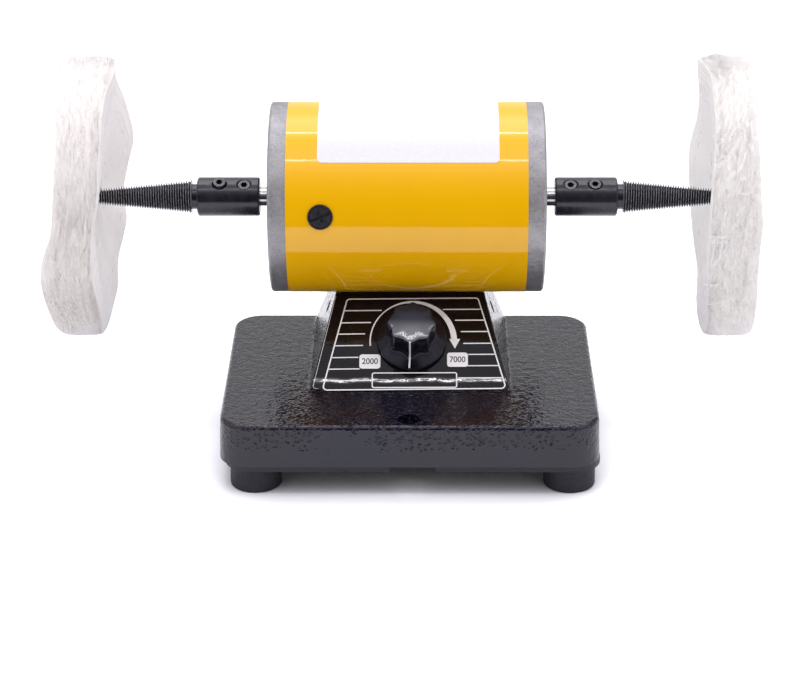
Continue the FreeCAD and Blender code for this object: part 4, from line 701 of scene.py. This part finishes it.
class Print:
    """Flat strips and patches in panel coordinates, gathered into one white piece."""

    def __init__(self):
        self.points = []
        self.faces = []

    def patch(self, corners):
        start = len(self.points)
        self.points += [on_panel(u, v, PRINT_OUT_MM) for u, v in corners]
        self.faces.append(tuple(range(start, start + len(corners))))

    def strip(self, path, widths, closed=False):
        """A line through points, with a width at each point."""
        count = len(path)
        start = len(self.points)
        for i, (u, v) in enumerate(path):
            before = path[i - 1] if closed or i > 0 else path[i]
            after = path[(i + 1) % count] if closed or i < count - 1 else path[i]
            du, dv = after[0] - before[0], after[1] - before[1]
            half = widths[i] / 2 / math.hypot(du, dv)
            self.points.append(on_panel(u - dv * half, v + du * half, PRINT_OUT_MM))
            self.points.append(on_panel(u + dv * half, v - du * half, PRINT_OUT_MM))
        for i in range(count if closed else count - 1):
            a, b = start + 2 * i, start + 2 * ((i + 1) % count)
            self.faces.append((a, a + 1, b + 1, b))

    def outline(self, corners, radius, width):
        path = rounded(corners, radius)
        self.strip(path, [width] * len(path), closed=True)

    def finish(self, name):
        mesh_piece(name, self.points, self.faces, "scale_print", "frame", smooth=False)


def rounded(corners, radius):
    """A closed path through corners, each replaced by an arc."""
    path = []
    count = len(corners)
    for i in range(count):
        corner = Vector(corners[i])
        before = (Vector(corners[i - 1]) - corner).normalized()
        after = (Vector(corners[(i + 1) % count]) - corner).normalized()
        half = before.angle(after) / 2
        reach = radius / math.tan(half)
        centre = corner + (before + after).normalized() * (radius / math.sin(half))
        start = corner + before * reach - centre
        end = corner + after * reach - centre
        turn = start.angle_signed(end)
        for k in range(CORNER_STEPS + 1):
            spoke = start.copy()
            spoke.rotate(Matrix.Rotation(-turn * k / CORNER_STEPS, 2))
            path.append(tuple(centre + spoke))
    return path


def panel_scale():
    """The frame with its short lines, the empty caption, the number boxes, the arrow that swells, and a pale
    strip along the film's cut edge that also paints its highlight.
    """
    scale = Print()
    scale.outline(FRAME_MM, 1.6, FRAME_LINE_MM)
    low_left, low_right, high_right, high_left = FRAME_MM
    for ends, low, high, rise in ((LEFT_ENDS_MM, low_left, high_left, -0.2),
                                  (RIGHT_ENDS_MM, low_right, high_right, 0.1)):
        for u, v in ends:
            edge = low[0] + (high[0] - low[0]) * (v - low[1]) / (high[1] - low[1])
            scale.strip([(edge, v + rise), (u, v)], [LINE_MM, LINE_MM])
    scale.outline(CAPTION_MM, 0.8, LINE_MM)
    for left, low, right, high in NUMBER_BOXES_MM:
        scale.patch(rounded([(left, low), (right, low), (right, high), (left, high)], 1.2))
    arc, widths = [], []
    for k in range(ARC_STEPS + 1):
        share = k / ARC_STEPS
        angle = math.radians(ARC_START - ARC_SWEEP * share)
        arc.append((ARC_CENTRE_MM[0] + ARC_RADII_MM[0] * math.cos(angle),
                    ARC_CENTRE_MM[1] + ARC_RADII_MM[1] * math.sin(angle)))
        widths.append(ARC_THIN_MM + ARC_SWELL_MM * smooth_step((share - 0.25) / 0.75))
    scale.strip(arc, widths)
    scale.patch(ARROW_MM)
    scale.finish("panel_scale_lines")
    # the film's pale cut edge, partly a painted highlight along it
    film_edge_and_highlight = Print()
    film_edge_and_highlight.strip(FILM_EDGE_AND_HIGHLIGHT_MM, FILM_EDGE_AND_HIGHLIGHT_WIDTHS_MM)
    film_edge_and_highlight.finish("panel_film_edge_and_painted_highlight")


def panel_figures():
    for name, words, u, v in NUMBERS_MM:
        text = bpy.data.curves.new(name, "FONT")
        text.body = words
        text.size = NUMBER_SIZE_MM * MM
        text.align_x = "CENTER"
        text.align_y = "CENTER"
        text.offset = NUMBER_BOLD_MM * MM
        holder = placed(name, text)
        bpy.context.view_layer.update()
        flat = bpy.data.meshes.new_from_object(holder.evaluated_get(bpy.context.evaluated_depsgraph_get()))
        bpy.data.objects.remove(holder)
        points = [on_panel(u + NUMBER_NARROWED * point.co.x / MM, v + point.co.y / MM, FIGURE_OUT_MM)
                  for point in flat.vertices]
        faces = [tuple(polygon.vertices) for polygon in flat.polygons]
        mesh_piece(name, points, faces, "scale_figures", "frame", smooth=False)


# -------- cotton buffs

BUFF_RADIUS_MM = 58.4
BUFF_STEPS = 540
PLY_COUNT = 34
HUB_RADIUS_MM = 14.0
HUB_INNER_MM, HUB_OUTER_MM = 129.8, 138.7
HOLE_INNER_MM, HOLE_OUTER_MM = 3.2, 2.45
FACE_EDGE_MM = BUFF_RADIUS_MM - 1.2
FACE_RADII_MM = [HUB_RADIUS_MM * k / 3 for k in (1, 2)]
FACE_RADII_MM += [HUB_RADIUS_MM + (FACE_EDGE_MM - HUB_RADIUS_MM) * k / 26 for k in range(27)]

# distance of the rim's inner and outer edge from the motor's middle, against the angle above the front
LEFT_INNER = (
    (5, 125.8), (18, 123.5), (41, 122.7), (64, 122.0), (84, 119.8), (108, 122.0), (135, 125.0), (157, 122.2),
    (173, 120.4), (187, 123.6), (200, 125.8), (210, 124.2), (228, 127.2), (243, 126.6), (259, 127.6),
    (291, 127.9), (320, 125.6), (348, 126.8))
LEFT_OUTER = (
    (5, 142.4), (14, 141.5), (31, 140.6), (49, 140.5), (67, 142.3), (100, 143.2), (140, 144.0), (180, 141.4),
    (225, 144.2), (262, 144.0), (299, 144.6), (324, 146.3), (342, 147.7), (353, 146.5))
RIGHT_INNER = (
    (5, 121.2), (22, 121.7), (41, 123.3), (60, 123.8), (80, 123.7), (97, 121.3), (120, 122.4), (144, 125.4),
    (161, 126.2), (180, 123.6), (213, 125.1), (234, 126.7), (258, 124.8), (285, 124.6), (318, 123.3),
    (346, 120.9))
RIGHT_OUTER = (
    (0, 141.5), (9, 142.0), (22, 141.2), (55, 140.5), (72, 141.0), (107, 142.7), (150, 143.4), (185, 141.4),
    (230, 143.8), (270, 142.2), (299, 143.1), (326, 142.4), (346, 141.4))

# loose threads on the right buff's rim: along the spindle, angle above the front, and lift off the rim
LOOSE_THREADS = (
    ((120.8, 4.6, 0.5), (122.6, 4.9, 0.9), (124.8, 4.4, 1.0), (127.2, 4.7, 0.8), (129.2, 5.2, 0.4)),
    ((120.9, 2.6, 0.4), (123.2, 2.2, 1.0), (125.9, 2.7, 1.0), (128.6, 2.2, 0.4)),
    ((122.9, 4.2, 0.6), (122.6, 1.0, 1.2), (122.2, -2.6, 1.2), (121.9, -6.2, 0.9), (122.4, -9.0, 0.4)),
    ((128.2, 1.0, 0.4), (126.4, -1.6, 0.9), (124.5, -4.6, 1.0), (122.8, -7.8, 0.5)),
    ((126.0, 3.0, 0.5), (125.2, -0.6, 1.1), (124.9, -4.0, 0.5)),
    ((119.9, -16.2, 0.5), (122.2, -16.9, 1.1), (125.2, -16.4, 0.5)),
    ((121.4, -27.5, 0.4), (124.2, -26.6, 1.0), (127.6, -25.2, 0.9), (129.8, -25.3, 0.4)),
    ((131.8, 22.0, 0.4), (134.4, 21.1, 0.9), (137.2, 22.2, 0.4)),
)
THREAD_MM = 0.30
HAIR_STEPS = 5
STITCH_ROWS_MM = (20.0, 43.0)
STITCH_PITCH_MM = 6.5
STITCH_STEPS = 5


def face_place(radius, degrees, hub, table):
    """Where a face of a buff lies along the spindle: at its hub, then flaring out to the rim."""
    share = smooth_step((radius - HUB_RADIUS_MM) / (0.92 * BUFF_RADIUS_MM - HUB_RADIUS_MM))
    pucker = 1.3 * math.sin(math.radians(degrees)) if hub == HUB_INNER_MM else 0.0
    return (hub - pucker) * (1 - share) + round_table(table, degrees) * share


def hair(start, direction, bend, length, thickness):
    """Rings of a hair that bends and thins on its way."""
    centre, heading = start, direction.normalized()
    rings = []
    for k in range(HAIR_STEPS + 1):
        rings.append(ring(centre, heading, thickness * (1 - 0.6 * k / HAIR_STEPS), 3))
        heading = (heading + bend).normalized()
        centre = centre + heading * (length / HAIR_STEPS)
    return rings


class Buff:
    """A wheel of sewn cotton discs on one side of the motor, whose rim wanders between two edges."""

    def __init__(self, side, body, inner, outer):
        self.side = side
        self.body = body
        self.inner = inner
        self.outer = outer

    def point(self, x, radius, degrees):
        return turned_about_axis(self.side * x, radius, degrees)

    def piece(self, name, points, faces, look):
        made = mesh_piece(name, points, faces, look, self.body)
        face_outwards(made)
        return made

    def section(self, degrees, depth, crumple, fray):
        """The wheel's outline at one angle, as places along the spindle and radii."""
        inner, outer = round_table(self.inner, degrees), round_table(self.outer, degrees)
        angle = math.radians(degrees)
        round_place = Vector((math.cos(angle), math.sin(angle), 0))

        def stray(x, y, z, scale):
            return noise.noise(Vector((x, y, z)) + round_place * scale)

        def rumple(x, fine):
            broad = stray(x * 0.35, 0, self.side * 7, 9)
            return crumple * (broad + fine * stray(x * 0.9, 4, self.side * 3, 26))

        def face(hub, table, way):
            return [(face_place(radius, degrees, hub, table)
                     + 0.5 * rumple(way * radius, 0.5) * smooth_step((radius - 30) / 20), radius)
                    for radius in FACE_RADII_MM]

        outline = [(face_place(0, degrees, HUB_INNER_MM, self.inner), HOLE_INNER_MM)]
        outline += face(HUB_INNER_MM, self.inner, 1)
        width = outer - inner
        for i in range(PLY_COUNT):
            share = (i + 0.5) / PLY_COUNT
            rounding = 1.1 * (1 - math.sin(math.pi * share)) ** 3
            lap = stray(i * 3.7, self.side * 11, 0, 2.5)
            shred = stray(i * 5.1, 0, self.side * 5, 14)
            crest = inner + width * (share + 0.25 * lap / PLY_COUNT)
            tuft = 0.7 + fray * math.exp(-((share - 0.33) / 0.16) ** 2)
            frayed = tuft * math.exp(-((degrees - 96) / 20) ** 2)
            reach = BUFF_RADIUS_MM - 0.1 + depth * (0.5 * lap + 0.7 * shred) + rumple(crest, 0.8) + frayed
            outline.append((crest, reach - rounding))
            if i < PLY_COUNT - 1:
                gap = depth * (0.7 + 0.6 * stray(i * 2.3, 9, self.side, 7))
                valley = inner + width * (i + 1) / PLY_COUNT
                reach = BUFF_RADIUS_MM - 0.2 - gap + rumple(valley, 0.8) + 0.7 * frayed
                outline.append((valley, reach - rounding))
        outline += reversed(face(HUB_OUTER_MM, self.outer, -1))
        outline.append((HUB_OUTER_MM, HOLE_OUTER_MM))
        return outline

    def plies(self, name, node, look, depth, crumple, fray):
        """Smooth faces, and plies that part from each other at the rim."""
        points = []
        for j in range(BUFF_STEPS):
            degrees = 360 * j / BUFF_STEPS
            outline = self.section(degrees, depth, crumple, fray)
            points += [self.point(x, radius, degrees) for x, radius in outline]
        faces = ring_faces(BUFF_STEPS, len(points) // BUFF_STEPS, closed=True)
        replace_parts(self.piece(name, points, faces, look), node)

    def lint(self, name, count, seed, threads=()):
        """Hairs that stand off the rim, and loose threads that lie on it."""
        draw = random.Random(seed)
        points, faces = [], []
        for _ in range(count):
            degrees = draw.uniform(0, 360)
            x = draw.uniform(round_table(self.inner, degrees), round_table(self.outer, degrees))
            start = self.point(x, BUFF_RADIUS_MM - 0.9, degrees)
            outward = (start - Vector((start.x, AXIS_Y, AXIS_Z))).normalized()
            along = Vector((1, 0, 0)).cross(outward)
            sway = Vector((draw.uniform(-1, 1), 0, 0)) + along * draw.uniform(-1, 1)
            bend = (Vector([draw.uniform(-1, 1) for _ in range(3)]) - outward * 0.5) * 0.35
            length = draw.uniform(0.8, 2.6) * MM
            thickness = draw.uniform(0.03, 0.07) * MM
            add_tube(points, faces, hair(start, outward * 0.9 + sway * 0.8, bend, length, thickness))
        for path in threads:
            centres = [self.point(x, BUFF_RADIUS_MM + lift, degrees) for x, degrees, lift in path]
            spans = zip(centres[:1] + centres[:-1], centres, centres[1:] + centres[-1:])
            add_tube(points, faces, [ring(centre, (after - before).normalized(), THREAD_MM / 2 * MM, 5)
                                     for before, centre, after in spans])
        self.piece(name, points, faces, "cotton_lint")

    def stitching(self, name):
        """Two rows of stitches that hold the plies together, on both faces."""
        points, faces = [], []
        for row_radius in STITCH_ROWS_MM:
            count = int(2 * math.pi * row_radius / STITCH_PITCH_MM)
            for face in ((HUB_INNER_MM, self.inner, -1, 0.5), (HUB_OUTER_MM, self.outer, 1, 1.0)):
                for k in range(count):
                    rings = [self.stitch_ring(k, m / STITCH_STEPS, count, row_radius, *face)
                             for m in range(STITCH_STEPS + 1)]
                    add_tube(points, faces, rings, capped=True)
        self.piece(name, points, faces, "cotton_lint")

    def stitch_ring(self, k, share, count, row_radius, hub, table, way, proud):
        """Four corners of the k-th stitch of a row, at a share of its length; it bulges at its middle."""
        degrees = 360 * (k + 0.45 * share) / count
        radius = row_radius + 0.9 * (share - 0.5)
        bulge = math.sin(math.pi * share)
        x = face_place(radius, degrees, hub, table) + way * proud * (0.1 + 0.25 * bulge)
        thick = proud * (0.12 + 0.14 * bulge)
        return [self.point(x + way * away * thick, radius + across * thick, degrees)
                for across, away in ((-1, 0), (0, 1), (1, 0), (0, -1))]


# -------- arbors

ARBOR_STEPS = 72
THREAD_SAMPLES = 8
THREAD_DEPTH_MM = 1.2
PLAIN_TIP_MM = 1.0
TAPER_START_RADIUS_MM, TAPER_END_RADIUS_MM = 7.1, 2.4
SCREW_ELEVATION = math.radians(60.5)
SCREW_PLACES_MM = (68.2, 78.45)
# distances from the spindle's axis and radii, from the bottom of the screw's thread to its countersink
SCREW_HOLE_MM = ((0.5, 2.55), (7.5, 2.55), (8.2, 3.3), (9.4, 3.3))
# places along the spindle and radii: the bore, the sleeve and the neck, then the tip of the taper
SLEEVE_MM = ((84.3, 0.0), (84.3, 4.02), (61.8, 4.02), (61.8, 7.6), (62.4, 8.2), (74.0, 8.2), (87.3, 8.2),
             (87.9, 7.6), (87.9, 5.3), (TAPER_START_MM, 5.3))
TIP_MM = ((TAPER_END_MM - 0.1, 1.6), (TAPER_END_MM, 0.0))


def arbor(name, side, node):
    """A bored sleeve with two set screw holes, a neck, and a taper cut with a helical thread."""
    rows = [[level] * ARBOR_STEPS for level in SLEEVE_MM]
    narrowing = (TAPER_START_RADIUS_MM - TAPER_END_RADIUS_MM) / (TAPER_END_MM - TAPER_START_MM)
    samples = (TAPER_END_MM - PLAIN_TIP_MM - TAPER_START_MM) / THREAD_PITCH_MM * THREAD_SAMPLES
    for i in range(int(samples) + 1):
        turns = i / THREAD_SAMPLES
        x = TAPER_START_MM + THREAD_PITCH_MM * turns
        crest = TAPER_START_RADIUS_MM - narrowing * (x - TAPER_START_MM)
        run_in = min(1.0, 0.3 + turns / 2)
        roots = [smooth_step(1.25 * (1 - abs(2 * ((turns - j / ARBOR_STEPS) % 1.0) - 1)) - 0.1)
                 for j in range(ARBOR_STEPS)]
        rows.append([(x, crest - THREAD_DEPTH_MM * root * run_in) for root in roots])
    rows += [[level] * ARBOR_STEPS for level in TIP_MM]
    points = [turned_about_axis(side * x, radius, 360 * j / ARBOR_STEPS)
              for row in rows for j, (x, radius) in enumerate(row)]
    piece = mesh_piece(name, points, ring_faces(len(rows), ARBOR_STEPS), "black_oxide_steel",
                       "spindle")
    face_outwards(piece, weld=True)
    outwards = Vector((0, -math.cos(SCREW_ELEVATION), math.sin(SCREW_ELEVATION)))
    for x in SCREW_PLACES_MM:
        bore(piece, Vector((side * x * MM, AXIS_Y, AXIS_Z)), outwards, SCREW_HOLE_MM)
    for polygon in piece.data.polygons:
        polygon.use_smooth = True
    piece.data.set_sharp_from_angle(angle=math.radians(38))
    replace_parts(piece, node)


speed_knob()
knob_pointer()
panel_scale()
panel_figures()
arbor("left_arbor_thread", -1, "left_arbor")
arbor("right_arbor_thread", 1, "right_arbor")
left_buff = Buff(-1, "left_wheel", LEFT_INNER, LEFT_OUTER)
right_buff = Buff(1, "right_wheel", RIGHT_INNER, RIGHT_OUTER)
left_buff.plies("left_buff_plies", "left_buff", "cotton", depth=0.18, crumple=0.15, fray=0.0)
right_buff.plies("right_buff_plies", "right_buff", "cotton_crumpled", depth=0.16, crumple=0.40, fray=1.2)
left_buff.lint("left_buff_lint", 260, seed=5)
right_buff.lint("right_buff_lint", 420, seed=7, threads=LOOSE_THREADS)
left_buff.stitching("left_buff_stitching")
right_buff.stitching("right_buff_stitching")


# -------- floor, light and camera

TENT_PEAK = 1.5
# the tent's brightness against the height in degrees, in front, at the sides and behind
FRONT_CLOTH = ((-90, 0.02), (15, 0.03), (30, 0.16), (38, 0.29), (48, 0.64), (57, 1.25), (66, 1.5), (90, 1.2))
SIDE_CLOTH = ((-90, 1), (-4, 1), (0, 0.42), (4, 0.48), (13, 1), (50, 0.95), (75, 1), (90, 1.2))
BACK_CLOTH = ((-90, 0.1), (4, 0.1), (14, 0.70), (25, 0.8), (45, 1.1), (90, 1.2))
# shares of the side and back cloth against the angle from the front, and the bright cloth above the back
SIDE_SHARE = ((0, 0), (11, 0), (26, 1), (180, 1))
BACK_SHARE = ((0, 0), (80, 0), (115, 1), (180, 1))
BRIGHT_SHARE = ((0, 0), (135, 0), (155, 1), (180, 1))
BRIGHT_HEIGHT = ((-90, 0), (40, 0), (58, 1), (76, 1), (85, 0), (90, 0))
BRIGHT_CLOTH = (1.3, 1.3, 1.3)
TENT_TINT = (0.99, 0.97, 1.045)


def ramp(nodes, turn, stops, peak=1.0):
    """A grey level that follows (degrees, level) stops; turn is in half circles from the first stop."""
    value = nodes.add("ShaderNodeValToRGB", {0: turn})
    elements = value.socket.node.color_ramp.elements
    first = stops[0][0]
    for degrees, _ in stops[1:-1]:
        elements.new((degrees - first) / 180)
    for element, (_, level) in zip(elements, stops):
        element.color = (level / peak, level / peak, level / peak, 1)
    return value


def studio_world():
    """A white light tent, open and dark at its front."""
    world = bpy.data.worlds.new("light_tent")
    bpy.context.scene.world = world
    world.use_nodes = True
    nodes = Nodes(world.node_tree)
    x, y, z = nodes.split(nodes.add("ShaderNodeTexCoord", {}, "Generated"))
    height = nodes.maths("ARCSINE", z) / (math.pi / 2)
    level = height * 0.5 + 0.5
    sideways = nodes.maths("ARCTAN2", abs(x), y * -1.0) / math.pi
    front, side, back = (ramp(nodes, level, cloth, TENT_PEAK)
                         for cloth in (FRONT_CLOTH, SIDE_CLOTH, BACK_CLOTH))
    rear = ramp(nodes, sideways, BACK_SHARE)
    tent = nodes.mix(ramp(nodes, sideways, SIDE_SHARE), front, nodes.mix(rear, side, back))
    bright = ramp(nodes, sideways, BRIGHT_SHARE) * ramp(nodes, level, BRIGHT_HEIGHT)
    tent = nodes.mix(1.0, nodes.mix(bright, tent, BRIGHT_CLOTH, "ADD"), TENT_TINT, "MULTIPLY")
    lit = nodes.add("ShaderNodeBackground", {"Color": tent, "Strength": 1.12 * TENT_PEAK})
    white = nodes.add("ShaderNodeBackground", {"Color": (1, 1, 1), "Strength": 1.0})
    straight, mirrored = nodes.rays()
    behind = rear * nodes.maths("LESS_THAN", abs(height), 0.3)
    shown = nodes.maths("MINIMUM", straight + mirrored * behind, 1.0)
    nodes.feed(nodes.tree.nodes["World Output"].inputs["Surface"],
               nodes.add("ShaderNodeMixShader", {0: shown, 1: lit, 2: white}))


STRIP_DISTANCE = 0.45
STRIP_LENGTH, STRIP_WIDTH = 1.1, 0.012


def strip_light(name, elevation, power):
    """A long thin lamp under the tent's ceiling, along X, aimed at the motor."""
    lamp = bpy.data.lights.new(name, "AREA")
    lamp.shape = "RECTANGLE"
    lamp.size = STRIP_LENGTH
    lamp.size_y = STRIP_WIDTH
    lamp.energy = power
    holder = placed(name, lamp)
    angle = math.radians(elevation)
    away = Vector((0, -math.cos(angle), math.sin(angle)))
    holder.location = Vector((0, AXIS_Y, AXIS_Z)) + away * STRIP_DISTANCE
    holder.rotation_mode = "QUATERNION"
    holder.rotation_quaternion = away.to_track_quat("Z", "Y")


FLOOR_FRONT, FLOOR_REAR, FLOOR_SIDE = -0.365, 3.0, 2.5
FLOOR_SEEN = (1.235, 1.25, 1.26)
# how far above the floor the object darkens it, in the painted shadow
PAINTED_SHADOW_REACH = 0.024


def floor():
    """White sweep under the object, which ends a little in front of it; the camera sees it whiter, with a
    painted shadow where the object stands close above it.
    """
    look = Look("white_floor", (0.93, 0.93, 0.93), 0.9)
    look.set("Specular IOR Level", 0.0)
    # painted shadow: as the camera sees it, the floor darkens where the object is near above it
    painted_contact_shadow = look.add("ShaderNodeAmbientOcclusion", {"Distance": PAINTED_SHADOW_REACH}, "AO", samples=6)
    seen = look.mix(1.0, FLOOR_SEEN, look.remap(painted_contact_shadow, 0.22, 0.66, 0.52, 1.04), "MULTIPLY")
    straight, mirrored = look.rays()
    choice = {0: look.maths("MINIMUM", straight + mirrored, 1.0), 1: Value(look, look.shader.outputs[0]),
              2: look.add("ShaderNodeBsdfDiffuse", {"Color": seen})}
    look.feed(look.tree.nodes["Material Output"].inputs["Surface"], look.add("ShaderNodeMixShader", choice))
    corners = [(-FLOOR_SIDE, FLOOR_FRONT, 0), (FLOOR_SIDE, FLOOR_FRONT, 0),
               (FLOOR_SIDE, FLOOR_REAR, 0), (-FLOOR_SIDE, FLOOR_REAR, 0)]
    made = mesh_object("floor", corners, [(0, 1, 2, 3)])
    made.data.materials.append(look.material)


CAMERA_PLACE = Vector((0.00594, -1.00965, 0.47912))
CAMERA_AHEAD = Vector((-0.008212, 0.916524, -0.399896)).normalized()
CAMERA_RIGHT = Vector((0.999966, 0.007738, -0.002800)).normalized()


def camera():
    data = bpy.data.cameras.new("camera")
    data.sensor_fit = "HORIZONTAL"
    data.sensor_width = 36.0
    data.lens = 117.0
    data.clip_start = 0.01
    made = placed("camera", data)
    up = CAMERA_RIGHT.cross(CAMERA_AHEAD).normalized()
    right = CAMERA_AHEAD.cross(up).normalized()
    turn = Matrix((right, up, -CAMERA_AHEAD)).transposed()
    made.matrix_world = Matrix.Translation(CAMERA_PLACE) @ turn.to_4x4()
    bpy.context.scene.camera = made


studio_world()
strip_light("front_strip", 62.3, 0.50)
strip_light("rear_strip", 99.3, 0.57)
floor()
camera()
bpy.context.scene.view_settings.view_transform = "Standard"
